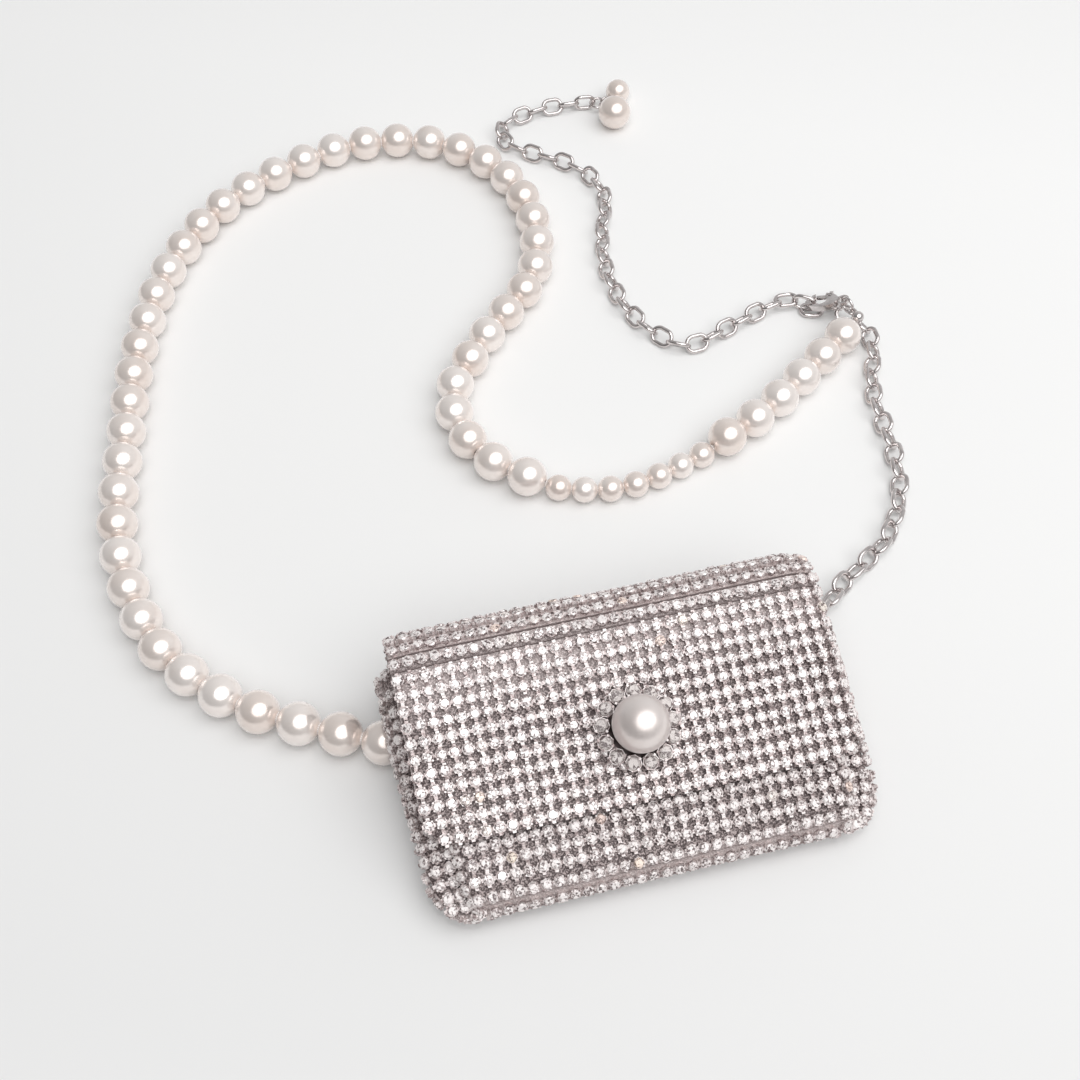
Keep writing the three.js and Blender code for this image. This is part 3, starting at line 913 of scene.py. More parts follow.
@dataclass(frozen=True)
class SilverFinish(Finish):
    """Plated metal with a soft polish and faint handling marks."""

    name: str = "plated_silver"
    slot: Slot = Slot.METAL
    colour: Colour = (0.58, 0.54, 0.535)
    worn: Colour = (0.80, 0.755, 0.745)
    polish: tuple[float, float] = (0.06, 0.14)
    wear: float = 420
    smear: float = 1500
    scratch: float = 2600

    def material(self) -> Material:
        """Builds the material."""
        shader = Shader(self.name)
        return shader.surface(
            base_color=shader.ramp(shader.noise(self.wear, 4), {0.35: self.colour, 0.7: self.worn}),
            roughness=shader.spread(shader.noise(self.smear, 5), *self.polish),
            normal=shader.bump(shader.noise(self.scratch, 2), 0.06, 0.02),
            metallic=1.0,
        )


@dataclass(frozen=True)
class PearlFinish(Finish):
    """Coated pearl: a cream ground with a pinkish bloom and the soft mirror of nacre."""

    name: str = "cream_pearl"
    slot: Slot = Slot.PEARL
    ground: Colour = (0.860, 0.752, 0.692)
    bloom: Colour = (0.960, 0.890, 0.850)
    gloss: float = 0.21
    gloss_range: float = 0.02
    nacre: float = 0.46
    cloud: float = 120
    smear: float = 700
    grain: float = 1800

    def material(self) -> Material:
        """Builds the material."""
        shader = Shader(self.name)
        each = shader.spread(shader.attribute("glint"), -0.2, 0.2)
        cloudy = shader.combined("ADD", each, shader.noise(self.cloud, 3))
        low, high = self.gloss - self.gloss_range, self.gloss + self.gloss_range
        return shader.surface(
            base_color=shader.ramp(cloudy, {0.2: self.ground, 0.75: self.bloom}),
            roughness=shader.spread(shader.noise(self.smear), low, high),
            normal=shader.bump(shader.noise(self.grain, 2), 0.05, 0.01),
            metallic=self.nacre,
            coat_weight=0.8,
            coat_roughness=0.08,
            coat_ior=1.5,
            sheen_weight=0.25,
            sheen_roughness=0.5,
        )


@dataclass(frozen=True)
class ThreadAndShadeStripFinish(Finish):
    """Twisted thread, white between the beads; its darker mauve copies paint the shadow strips below the rows
    of stones.
    """

    name: str = "bead_thread"
    slot: Slot = Slot.PEARL
    dark: Colour = (0.74, 0.69, 0.665)
    light: Colour = (0.93, 0.90, 0.885)
    twist: float = 700

    def material(self) -> Material:
        """Builds the material."""
        shader = Shader(self.name)
        twist = shader.bands(self.twist, "DIAGONAL")
        return shader.surface(
            base_color=shader.ramp(twist, {0.2: self.dark, 0.8: self.light}),
            roughness=shader.spread(twist, 0.7, 0.5),
            normal=shader.bump(twist, 0.4, 0.08),
        )


@dataclass(frozen=True)
class FloorFinish:
    """Plain pale table, its colour painted a little brighter towards the back and the right, a painted fall
    of light.
    """

    name: str = "pale_table"
    near: Colour = (0.815, 0.815, 0.812)
    middle: Colour = (0.905, 0.905, 0.90)
    far: Colour = (0.97, 0.97, 0.965)
    slope: Place = (0.5, 1.0, 0.0)
    reach: tuple[float, float] = (-0.1, 0.3)

    def material(self) -> Material:
        """Builds the material."""
        shader = Shader(self.name)
        place = {0: shader.place(), 1: self.slope}
        slope = shader.node("ShaderNodeVectorMath", place, operation="DOT_PRODUCT")
        low, high = self.reach
        inputs = {"Value": slope.outputs["Value"], "From Min": low, "From Max": high}
        share = shader.node("ShaderNodeMapRange", inputs).outputs["Result"]
        # Painted light: the table's colour brightens towards the back and the right.
        shade = shader.ramp(share, {0.0: self.near, 1.0: self.far, 0.5: self.middle})
        return shader.surface(base_color=shade, roughness=0.75, specular_ior_level=0.2)


def built_from(finish: Finish) -> Coat:
    """Returns a field of a dataclass whose value is built from a finish."""
    return field(default_factory=finish.build)


@dataclass
class Finishes:
    """Coats that the pieces share, each built once."""

    satin: Coat = built_from(SatinFinish())
    crystal: Coat = built_from(CrystalFinish())
    # Darker copy of the crystal for the pocket: its darker tones are painted shade under the flap, and it has
    # less foil and coat.
    calm_crystal: Coat = built_from(
        CrystalFinish(
            name="calm_crystal",
            dim=(0.34, 0.278, 0.273),
            fair=(0.73, 0.638, 0.625),
            bright=(0.90, 0.848, 0.834),
            foil=0.08,
            coat=0.12,
        )
    )
    smoky: Coat = built_from(
        CrystalFinish(
            name="smoky_crystal",
            dim=(0.2, 0.165, 0.163),
            fair=(0.42, 0.376, 0.360),
            bright=(0.66, 0.605, 0.585),
            foil=0.1,
            coat=0.2,
        )
    )
    cups: Coat = built_from(CupFinish())
    # Darker copy of the cup metal for the pocket: painted shade under the flap.
    calm_shaded_cups: Coat = built_from(
        CupFinish(name="calm_cup_metal", middle=(0.56, 0.468, 0.458), bright=(0.87, 0.808, 0.797))
    )
    silver: Coat = built_from(SilverFinish())
    pearl: Coat = built_from(PearlFinish())
    button_pearl: Coat = built_from(
        PearlFinish(
            name="button_pearl", ground=(0.80, 0.72, 0.69), bloom=(0.89, 0.83, 0.805), gloss=0.33, nacre=0.62
        )
    )
    # Near black plate metal: painted shade for the dark gaps between the ring's stones.
    button_metal: Coat = built_from(
        SilverFinish(
            name="button_metal", colour=(0.10, 0.08, 0.078), worn=(0.24, 0.2, 0.198), polish=(0.3, 0.45)
        )
    )
    thread: Coat = built_from(ThreadAndShadeStripFinish())
    # Dark strips below the rows where the cloth bends: painted contact shadow, the pale one for the pocket.
    seam: Coat = built_from(
        ThreadAndShadeStripFinish("seam_thread", Slot.MESH, dark=(0.16, 0.124, 0.121), light=(0.27, 0.220, 0.215))
    )
    pale_shade_strip: Coat = built_from(
        ThreadAndShadeStripFinish("pale_seam_thread", Slot.MESH, dark=(0.34, 0.278, 0.272), light=(0.48, 0.41, 0.40))
    )


# Set stones


@dataclass
class StoneSetting:
    """Unit of the crystal mesh: a cut stone in a tall cup with four prongs and linking bars.

    Attributes:
        stone: Radius of the stone.
        table: Radius of the table as a share of the stone's.
        kite: Radius and height of the kite corners, as shares of the stone and the crown.
        crown: Height of the table over the girdle.
        cup: Radius of the cup at its rim.
        foot: Depth of the cup and the sewn edge in the satin.
        lip: Height of the rim over the girdle.
        play: Gap between the stone and the rim, and how far a prong stands out.
        girdle: Height of the girdle over the satin.
        prong: Half width of a prong, and its ends below and above the girdle.
        bar: Half width of the bars between cups.
        column_pitch: Distance between columns.
        row_pitch: Distance between rows.
        seam: Ends of the dark strip below a row, a painted contact shadow.
        shade_strip_height: Height of that painted shadow strip over the satin.
    """

    stone: float = 1.42
    facets: int = 8
    table: float = 0.68
    kite: tuple[float, float] = (0.88, 0.57)
    crown: float = 0.52
    culet: float = 0.6
    cup: float = 1.6
    foot: float = 0.1
    lip: float = 0.04
    play: float = 0.03
    girdle: float = 1.3
    prong: tuple[float, float, float] = (0.2, 0.5, 0.3)
    bar: float = 0.46
    column_pitch: float = 3.364
    row_pitch: float = 4.0
    seam: tuple[float, float] = (-1.98, -1.68)
    shade_strip_height: float = 0.32

    def stone_unit(self) -> Object:
        """Builds a cut stone with a split table, star, kite and girdle facets."""
        count = self.facets
        skin = Skin()
        kite, kite_height = self.kite
        levels = [(self.table, self.crown, 0.0), (kite, kite_height * self.crown, 0.5), (1.0, 0.0, 0.0)]
        for share, height, offset in levels:
            radius = share * self.stone
            for turn in even_turns(count, offset):
                spot = [radius * math.cos(turn), radius * math.sin(turn), self.girdle + height]
                skin.points.append(np.array(spot))
        skin.points.append(np.array([0, 0, self.girdle + self.crown]))
        skin.points.append(np.array([0, 0, self.girdle - self.culet]))
        top, culet = 3 * count, 3 * count + 1
        for step in range(count):
            after = (step + 1) % count
            before = (step - 1) % count
            skin.faces.append((top, step, after))
            skin.faces.append((step, count + step, after))
            skin.faces.append((step, count + before, 2 * count + step, count + step))
            skin.faces.append((count + step, 2 * count + step, 2 * count + after))
            skin.faces.append((culet, 2 * count + after, 2 * count + step))
        return self._numbered(to_object("stone_unit", skin, Shade.FLAT))

    @staticmethod
    def _numbered(made: Object) -> Object:
        """Numbers the faces of a unit, so that a finish can tell them apart."""
        layer = made.data.attributes.new("facet", "FLOAT", "FACE")
        faces = len(made.data.polygons)
        layer.data.foreach_set("value", (np.arange(faces) + 0.5).astype(np.float32) / faces)
        return made

    def seam_unit(self) -> Object:
        """Builds one pitch of a dark strip that paints the contact shadow below a row where the cloth bends.
        """
        half = self.column_pitch / 2
        # A dark block that paints the contact shadow along the row.
        edge = block((-half, self.seam[0], -self.foot), (half, self.seam[1], self.shade_strip_height))
        return to_object("seam_unit", edge, Shade.FLAT)

    def cup_unit(self, across: bool = True, down: bool = True) -> Object:
        """Builds a cup that widens to its rim and has four prongs.

        Args:
            across: Whether bars reach halfway to the neighbours in the row.
            down: Whether bars reach halfway to the next rows.

        Returns:
            The cup.
        """
        rim = self.girdle + self.lip
        base = [(0, -self.foot), (0.72 * self.cup, -self.foot)]
        wall = [(0.76 * self.cup, 0.35 * rim), (self.cup, rim)]
        bowl = [(self.stone + self.play, rim), (0.9 * self.stone, rim - 0.3), (0, rim - 0.35)]
        skin = lathe(base + wall + bowl, self.facets)
        half, below, above = self.prong
        prong = block(
            (0.82 * self.stone, -half, self.girdle - below), (self.cup + self.play, half, self.girdle + above)
        )
        for quarter in range(4):
            skin.add(prong.moved(Matrix.Rotation(math.radians(45 + 90 * quarter), 4, "Z")))
        low, high = 0.5 * rim, 0.95 * rim
        for reach, turn, wanted in ((self.column_pitch / 2, 0, across), (self.row_pitch / 2, 90, down)):
            for way in (-1, 1) if wanted else ():
                ends = sorted((way * 0.6 * self.cup, way * reach))
                bar = block((ends[0], -self.bar, low), (ends[1], self.bar, high))
                skin.add(bar.moved(Matrix.Rotation(math.radians(turn), 4, "Z")))
        return self._numbered(to_object("cup_unit", skin, Shade.FLAT, weld=0))


class Units:
    """Objects of the crystal mesh that the seating repeats."""

    def __init__(self, setting: StoneSetting) -> None:
        """Builds the units from the sizes of the set stones."""
        self.stone = setting.stone_unit()
        self.cup = setting.cup_unit()
        self.row_cup = setting.cup_unit(down=False)
        self.lone_cup = setting.cup_unit(across=False, down=False)
        self.seam = setting.seam_unit()

    def clear(self) -> None:
        """Removes the units once they are seated."""
        for made in vars(self).values():
            bpy.data.objects.remove(made)


@dataclass
class Bench:
    """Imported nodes, coats, seating and units that the pieces are made with."""

    nodes: dict[str, Object]
    finishes: Finishes = field(default_factory=Finishes)
    seating: Seating = field(default_factory=Seating)
    setting: StoneSetting = field(default_factory=StoneSetting)
    units: Units = field(init=False)

    def __post_init__(self) -> None:
        """Builds the units."""
        self.units = Units(self.setting)

    def seat_cups(
        self, label: str, clouds: tuple[Cloud, Cloud], seed: int, metal: Coat, thread: Coat
    ) -> None:
        """Seats the cups of a panel, and dark strips that paint the contact shadow below the rows where its
        cloth bends.

        Args:
            label: Name of the panel.
            clouds: Places on flat cloth, and places where the cloth bends.
            seed: Seed of the random draws.
            metal: Coat of the cups.
            thread: Coat of the painted shadow strips.
        """
        flat, bent = clouds
        seat, units = self.seating.seat, self.units
        seat(f"{label}_cups", flat, units.cup, metal, seed=seed, tilt=2.5, shift=0.12)
        seat(f"{label}_bend_cups", bent, units.row_cup, metal, seed=seed, tilt=2.5, shift=0.08)
        # Dark strips below the rows: painted shadow.
        seat(f"{label}_bend_seams", bent, units.seam, thread, seed=seed)

    def dress_copy(self, name: str, node: str, rounding: float, body: Body = Body.BAG) -> None:
        """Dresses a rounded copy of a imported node."""
        dress(bevelled_copy(name, self.nodes[node], rounding), self.finishes.silver, node, body=body)


# Bag


@dataclass
class Flap:
    """Flap of the bag: a bent satin sheet under rows of set stones."""

    half_width: float = 57.0
    slope: float = 20.0
    edge: tuple[float, float] = (-21.2, 19.85)
    corner: float = 9.0
    droop: tuple[float, float] = (0.7, 1.8)
    droop_start: float = 49.0
    back_edge: float = 24.3
    top: float = 37.7
    bend: float = 7.0
    fold: float = 13.0
    pile: float = 1.9
    wall: float = 2.6
    ripple: float = 0.12
    ripple_across: tuple[float, float] = (0.11, 0.6)
    ripple_down: tuple[float, float] = (0.17, 0.4)
    first_row: float = 3.6
    last_row: float = 1.7
    column_margin: float = 2.9
    side_margin: float = 1.2
    fill: float = 0.7
    bent: tuple[float, float] = (-0.25, 0.97)

    def __post_init__(self) -> None:
        """Samples the side view of the flap by the distance from its back edge."""
        low = arc(np.array([self.top - self.bend, self.bend]), self.bend, (-90, 0), 24)
        centre = np.array([self.top - self.fold, self.height(self.top - self.fold)])
        centre[1] -= self.fold / math.cos(math.radians(self.slope))
        fold = arc(centre, self.fold, (0, 90 + self.slope), 44)
        self._line = np.vstack([[(self.back_edge, 0.0)], low, fold, [self.edge]])
        self._runs = distances(self._line)
        self.length = float(self._runs[-1])

    def height(self, y: float) -> float:
        """Returns the height of the sloping face."""
        return self.edge[1] + (y - self.edge[0]) * math.tan(math.radians(self.slope))

    def half_at(self, run: float) -> float:
        """Returns the half width at a distance from the back edge."""
        left = self.length - run
        if left >= self.corner:
            return self.half_width
        rise = (self.corner - left) / self.corner
        return self.half_width - self.corner * (1 - math.sqrt(max(0.0, 1 - rise * rise)))

    def point(self, x: float, run: float, depth: float) -> np.ndarray:
        """Returns a point of the sheet.

        Args:
            x: Place across the bag.
            run: Distance from the back edge.
            depth: Distance below the outer face.

        Returns:
            The point.
        """
        small = 0.4
        here, before, after = (
            np.array([np.interp(place, self._runs, axis) for axis in self._line.T])
            for place in (run, max(run - small, 0), min(run + small, self.length))
        )
        along = unit(after - before)
        outward = np.array([along[1], -along[0]])
        past = max(0.0, abs(x) - self.droop_start) / (self.half_width - self.droop_start)
        droop = self.droop[1] if x > 0 else self.droop[0]
        across, down = (
            math.sin(rate * place + phase)
            for place, (rate, phase) in ((x, self.ripple_across), (run, self.ripple_down))
        )
        sag = droop * past * past + self.ripple * (1 + across * down)
        spot = here - outward * (depth + sag)
        return np.array([x, spot[0], spot[1]])

    def frame(self, x: float, run: float) -> tuple[np.ndarray, np.ndarray, np.ndarray]:
        """Returns how a stone sits on the satin.

        Args:
            x: Place across the bag.
            run: Distance from the back edge.

        Returns:
            The point, its outward direction and the direction across.
        """
        small = 0.5
        run = min(max(run, small), self.length - small)
        here = self.point(x, run, self.pile)
        across = self.point(x + small, run, self.pile) - self.point(x - small, run, self.pile)
        along = self.point(x, run + small, self.pile) - self.point(x, run - small, self.pile)
        return here, unit(np.cross(across, -along)), unit(across)

    def sheet(self) -> Skin:
        """Returns the satin sheet with rounded edges."""
        rounding = 0.4
        middle = (self.pile + self.wall) / 2
        rings = []
        for run in np.concatenate([np.linspace(0, self.length - self.corner, 90), self._corner_runs()]):
            half = self.half_at(run)
            xs = np.linspace(-half + rounding, half - rounding, 45)
            ring = [self.point(-half, run, middle)]
            ring += [self.point(x, run, self.pile) for x in xs]
            ring += [self.point(half, run, middle)]
            ring += [self.point(x, run, self.wall) for x in xs[::-1]]
            rings.append(ring)
        return loft(rings)

    def _corner_runs(self) -> np.ndarray:
        """Returns stations that crowd towards the lower edge."""
        turns = np.linspace(0, math.pi / 2, 11)[1:]
        return self.length - self.corner + self.corner * np.sin(turns)

    def cloud(self, setting: StoneSetting) -> Cloud:
        """Places the stones.

        Args:
            setting: Sizes of the set stones.

        Returns:
            The places, in rows from the back edge.
        """
        cloud = Cloud()
        fine = np.linspace(self.first_row, self.length - self.last_row, 500)
        worn = distances(np.array([self.point(0, run, self.pile) for run in fine]))
        rows = round(worn[-1] / setting.row_pitch)
        columns = int((2 * self.half_width - self.column_margin) / setting.column_pitch)
        places = (np.arange(columns + 1) - columns / 2) * setting.column_pitch
        for run in np.interp(np.linspace(0, worn[-1], rows + 1), worn, fine):
            limit = self.half_at(run) - self.side_margin
            row = [x for x in places if abs(x) <= limit]
            if limit - row[-1] > self.fill * setting.column_pitch:
                row += [-limit, limit]
            for x in row:
                cloud.add(*self.frame(x, run))
        return cloud

    def build(self, bench: Bench) -> None:
        """Builds and dresses the satin sheet, its cups and its stones.

        Args:
            bench: What the pieces are made with.
        """
        finishes = bench.finishes
        sheet = to_object("satin_flap", self.sheet())
        # Painted sheen: the satin is painted paler over the fold and on the flat just before it.
        over_fold = {-0.28: 0.0, 0.1: 1.0, 0.85: 1.0, 1.0: 0.0}
        before_fold = {6.0: 0.0, 20.0: 0.6, 26.0: 0.0}
        mark_painted_sheen(sheet, over_fold, before_fold)
        dress(sheet, finishes.satin, "bag_flap")
        cloud = self.cloud(bench.setting)
        seed = 11
        bench.seat_cups("flap", cloud.parted(*self.bent), seed, finishes.cups, finishes.seam)
        stone = bench.units.stone
        bench.seating.seat("flap_stones", cloud, stone, finishes.crystal, seed=seed, tilt=4.5, shift=0.12)


@dataclass
class Pocket:
    """Pocket of the bag: a hollow satin shell, with stones on its front, back and sides.

    Attributes:
        pile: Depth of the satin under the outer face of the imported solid.
        bulge_level: Height of the bulge of the sides, as a share.
        rise: How much further the front reaches than the back at the mouth.
        mouth: Places where that starts and ends.
        front_start: Place where the rows of the front start, under the flap.
        back_end: Place where the rows of the back end.
        columns: Columns of stones on either side of the middle one.
        least_facing: Least share of the satin's direction along a ray that places a stone.
        inside: A point inside the pocket.
        side_ends: Distance of the first and last column of a side from its ends.
        side_margins: Distances of the stones of a side from its front and its back edge.
        side_wrap: How far a side reaches round the long edges.
        bent: Limits of the facing along Y where the cloth bends.
        sections: Place, low, high, and half widths at the back, the bulge and the front.
    """

    pile: float = 1.9
    wall: float = 2.6
    corner: float = 3.0
    bulge_level: float = 0.55
    rise: float = 5.4
    mouth: tuple[float, float] = (14.9, 24.0)
    front_start: float = -13.0
    back_end: float = 22.6
    last_row: float = 1.0
    columns: int = 14
    least_facing: float = 0.75
    inside: Place = (0, -5, 8)
    side_ends: float = 0.8
    side_margins: tuple[float, float] = (2.2, 1.2)
    side_wrap: float = 1.2
    bent: tuple[float, float] = (-0.985, -0.42)
    sections: tuple[tuple[float, ...], ...] = (
        (-36.4, 4.4, 8.8, 46, 51, 48),
        (-34.8, 1.7, 11.5, 48.5, 55, 50.5),
        (-31.7, 0.3, 13.0, 50, 57.6, 52),
        (-27.5, 0, 14.47, 50, 59.2, 52.8),
        (-14, 0, 19.38, 50, 60.2, 53),
        (0, 0, 24.48, 50, 61, 53),
        (14.9, 0, 29.9, 50, 61.6, 53),
        (22, 0, 31.7, 50, 61.8, 53),
        (24, 0, 30.6, 50, 61.9, 53),
    )

    def ring(self, row: np.ndarray, inset: float, y: float) -> list[np.ndarray]:
        """Returns one closed section of the shell.

        Args:
            row: Section values: place, low, high and three half widths.
            inset: Distance inside the outer face.
            y: Place of the section.

        Returns:
            The points, from the middle of the back round the right side.
        """
        opens, ends = self.mouth
        rise = self.rise * max(0.0, (row[0] - opens) / (ends - opens)) ** 2
        low, high = row[1] + inset, row[2] - inset
        back, bulge, front = row[3:6] - inset
        radius = min(self.corner, 0.4 * (high - low))
        level = low + self.bulge_level * (high - low)
        right = [(x, low, 0.0) for x in np.linspace(0, back - radius, 14)]
        for turn in np.radians([18, 36, 54, 72, 90]):
            x = back - radius + radius * math.sin(turn)
            right.append((x, low + radius - radius * math.cos(turn), 0.0))
        start, end = low + radius, high - radius
        knee = (level - start) / (end - start)
        swell = bulge - (back + knee * (front - back))
        for share in np.linspace(0, 1, 14)[1:-1]:
            z = start + share * (end - start)
            reach = share / knee if share < knee else (1 - share) / (1 - knee)
            base = back + share * (front - back)
            right.append((base + swell * (1 - (1 - reach) ** 2), z, min(1.0, share / knee)))
        for turn in np.radians([0, 18, 36, 54, 72]):
            x = front - radius + radius * math.cos(turn)
            right.append((x, high - radius + radius * math.sin(turn), 1.0))
        right += [(x, high, 1.0) for x in np.linspace(front - radius, 0, 14)]
        half = [np.array([x, y + rise * lift, z]) for x, z, lift in right]
        mirror = [point * np.array([-1, 1, 1]) for point in half[-2:0:-1]]
        return half + mirror

    def _rows(self, count: int) -> np.ndarray:
        """Returns evenly spaced section values from the bottom edge to the mouth."""
        route = Route(self.sections, 40)
        return route.at(np.linspace(0, route.length, count))

    def stations(self, inset: float) -> list[list[np.ndarray]]:
        """Returns the sections from the bottom edge to the mouth.

        Args:
            inset: Distance inside the outer face and the bottom edge.

        Returns:
            The rings.
        """
        rows = self._rows(70)
        start = rows[0][0]
        shrink = 1 - inset / (rows[-1][0] - start)
        return [self.ring(row, inset, start + inset + (row[0] - start) * shrink) for row in rows]

    def shell(self) -> Skin:
        """Returns the hollow satin shell."""
        return loft([*self.stations(self.pile), *self.stations(self.wall)[::-1]])

    def front_line(self) -> tuple[Route, float]:
        """Returns the side view of the satin under the stones and where the bottom edge lies on it."""
        rings = self.stations(self.pile)
        top = len(rings[0]) // 2
        front = [ring[top] for ring in rings[::-1] if ring[top][1] <= self.front_start]
        back = [ring[0] for ring in rings if ring[0][1] <= self.back_end]
        down = [*front[::3], front[-1]]
        return Route([*down, *back[2::3]], 12), Route(down, 12).length

    def panel_cloud(self, setting: StoneSetting, shell: BVHTree) -> Cloud:
        """Places the stones on the front, the bottom and the back.

        Args:
            setting: Sizes of the set stones.
            shell: Tree of the satin shell.

        Returns:
            The places in rows, with one row on the bottom edge.
        """
        cloud = Cloud()
        line, tip = self.front_line()
        columns = np.arange(-self.columns, self.columns + 1) * setting.column_pitch
        for run in np.arange(tip % setting.row_pitch, line.length - self.last_row, setting.row_pitch):
            place, along = line.spot(run)
            outward = np.array([0, along[2], -along[1]])
            if outward @ (place - np.array(self.inside)) < 0:
                outward = -outward
            for x in columns:
                self._cast(cloud, shell, place + np.array([x, 0, 0]), outward)
        return cloud

    def side_cloud(self, setting: StoneSetting, shell: BVHTree) -> Cloud:
        """Places the stones on the two sides and round the lower corners.

        Args:
            setting: Sizes of the set stones.
            shell: Tree of the satin shell.

        Returns:
            The places in columns from the bottom edge.
        """
        cloud = Cloud()
        rows = self._rows(400)
        steps = np.hypot(np.diff(rows[:, 0]), np.diff(rows[:, 4]))
        runs = np.concatenate([[0.0], np.cumsum(steps)])
        first, last = self.side_ends, runs[-1] - self.side_ends
        count = round((last - first) / setting.column_pitch)
        for run in np.linspace(first, last, count + 1):
            row = np.array([np.interp(run, runs, column) for column in rows.T])
            for spot in self._side_spots(row, setting.column_pitch):
                for side in (-1, 1):
                    place = spot * np.array([side, 1, 1])
                    found, normal, _, _ = shell.find_nearest(Vector(place * MM))
                    cloud.add(np.array(found) / MM, np.array(normal), np.array([0.0, 1.0, 0.0]))
        return cloud

    def _side_spots(self, row: np.ndarray, pitch: float) -> np.ndarray:
        """Returns evenly spaced places on the right side of a section, front edge to back edge.

        Args:
            row: Section values.
            pitch: Wanted distance between places.

        Returns:
            The places.
        """
        ring = self.ring(row, self.pile, row[0])
        inner = min(row[3], row[5]) - self.pile - self.side_wrap
        path = np.array([point for point in ring[: len(ring) // 2 + 1] if point[0] > inner])[::-1]
        runs = distances(path)
        front, back = self.side_margins
        count = max(1, round((runs[-1] - front - back) / pitch))
        wanted = np.linspace(front, runs[-1] - back, count + 1)
        return np.stack([np.interp(wanted, runs, axis) for axis in path.T], axis=1)

    def _cast(self, cloud: Cloud, shell: BVHTree, spot: np.ndarray, outward: np.ndarray) -> None:
        """Adds the place where a ray from outside meets the shell face on.

        Args:
            cloud: Cloud that receives the place.
            shell: Tree of the satin shell.
            spot: Point near the shell.
            outward: Direction away from the shell.
        """
        reach, depth = 9.0, 2.4
        start = Vector((spot + reach * outward) * MM)
        found, normal, _, _ = shell.ray_cast(start, Vector(-outward), depth * reach * MM)
        if found is None or Vector(outward).dot(normal) < self.least_facing:
            return
        cloud.add(np.array(found) / MM, np.array(normal), np.array([1.0, 0, 0]))

    def build(self, bench: Bench) -> None:
        """Builds and dresses the shell, its cups and its stones.

        Args:
            bench: What the pieces are made with.
        """
        finishes, setting = bench.finishes, bench.setting
        shell = to_object("satin_pocket", self.shell())
        # Painted sheen: the satin is painted paler round the bottom edge.
        round_bottom = {-0.7: 1.0, -0.42: 0.0}
        mark_painted_sheen(shell, round_bottom)
        dress(shell, finishes.satin, "bag_body")
        faces = BVHTree.FromObject(shell, bpy.context.evaluated_depsgraph_get())
        clouds = {"pocket": self.panel_cloud(setting, faces), "side": self.side_cloud(setting, faces)}
        # The pocket's stones and cups use the darker copies, painted shade under the flap.
        stone, coat = bench.units.stone, finishes.calm_crystal
        for seed, (label, cloud) in enumerate(clouds.items(), start=21):
            bench.seat_cups(label, cloud.parted(*self.bent), seed, finishes.calm_shaded_cups, finishes.pale_shade_strip)
            bench.seating.seat(f"{label}_stones", cloud, stone, coat, seed=seed, tilt=5.0, shift=0.12)


@dataclass
class Button:
    """Pearl button on the flap, in a ring of larger set stones."""

    y: float = -4.4
    pearl: float = 7.3
    seat: float = 6.7
    gap: float = 0.3
    plate: float = 9.4
    plate_thick: float = 0.9
    stones: int = 13
    ring: float = 8.9
    ring_level: float = 0.6
    lean: float = 0.12
    scale: float = 1.36

    def matrix(self, flap: Flap) -> Matrix:
        """Returns the place of the button on the slope of the flap."""
        place = Matrix.Translation((0, self.y, flap.height(self.y)))
        return place @ Matrix.Rotation(math.radians(flap.slope), 4, "X")

    def build(self, bench: Bench, flap: Flap) -> None:
        """Builds and dresses the plate, the ring of stones and the pearl.

        Args:
            bench: What the pieces are made with.
            flap: Flap that carries the button.
        """
        finishes, units = bench.finishes, bench.units
        place = self.matrix(flap)
        plate = to_object("button_plate", lathe(self._plate(), 52).moved(place))
        # The plate is dark as painted shade between the ring's stones.
        dress(plate, finishes.button_metal, "button_setting")
        cloud = self._cloud(place)
        seed = 31
        bench.seating.seat("button_cups", cloud, units.lone_cup, finishes.cups, seed=seed)
        bench.seating.seat("button_stones", cloud, units.stone, finishes.smoky, seed=seed, tilt=4.0)
        pearl = to_object("button_bead", lathe(self._pearl(), 56).moved(place))
        dress(pearl, finishes.button_pearl, "button_pearl")

    def _plate(self) -> Outline:
        """Returns the half outline of the plate and of the collar round the pearl."""
        foot, top, edge = self.gap, self.gap + self.plate_thick, self.plate
        plate = [(0, foot), (edge - 0.5, foot), (edge, foot + 0.3), (edge - 0.3, foot + 0.6)]
        collar = [(8.0, top - 0.25), (6.2, top), (5.9, top + 0.9), (5.2, top + 0.9), (4.6, top + 0.3)]
        return [*plate, *collar, (0, top + 0.3)]

    def _cloud(self, place: Matrix) -> Cloud:
        """Returns the places of the stones round the pearl."""
        cloud = Cloud()
        turned = place.to_3x3()
        for turn in even_turns(self.stones):
            x, y = math.cos(turn), math.sin(turn)
            spot = place @ Vector((self.ring * x, self.ring * y, self.gap + self.ring_level))
            lean = turned @ Vector((self.lean * x, self.lean * y, 1)).normalized()
            along = turned @ Vector((x, y, 0))
            cloud.add(np.array(spot), np.array(lean), np.array(along), self.scale)
        return cloud

    def _pearl(self) -> Outline:
        """Returns the half outline of the pearl with its flat base."""
        centre = 2 * self.gap + self.plate_thick + self.seat
        start = -math.asin(self.seat / self.pearl)
        turns = np.linspace(start, math.pi / 2, 30)[:-1]
        sides = [(self.pearl * math.cos(turn), centre + self.pearl * math.sin(turn)) for turn in turns]
        return [(0.0, centre - self.seat), *sides, (0.0, centre + self.pearl)]


@dataclass
class SideFittings:
    """Plates on the sides of the pocket that hold the pearls and the chain."""

    rounding: float = 0.2

    def build(self, bench: Bench) -> None:
        """Builds and dresses rounded copies of the fittings."""
        bench.dress_copy("string_plate", "string_anchor", self.rounding)
        bench.dress_copy("chain_eye", "chain_loop", self.rounding)


# Strap


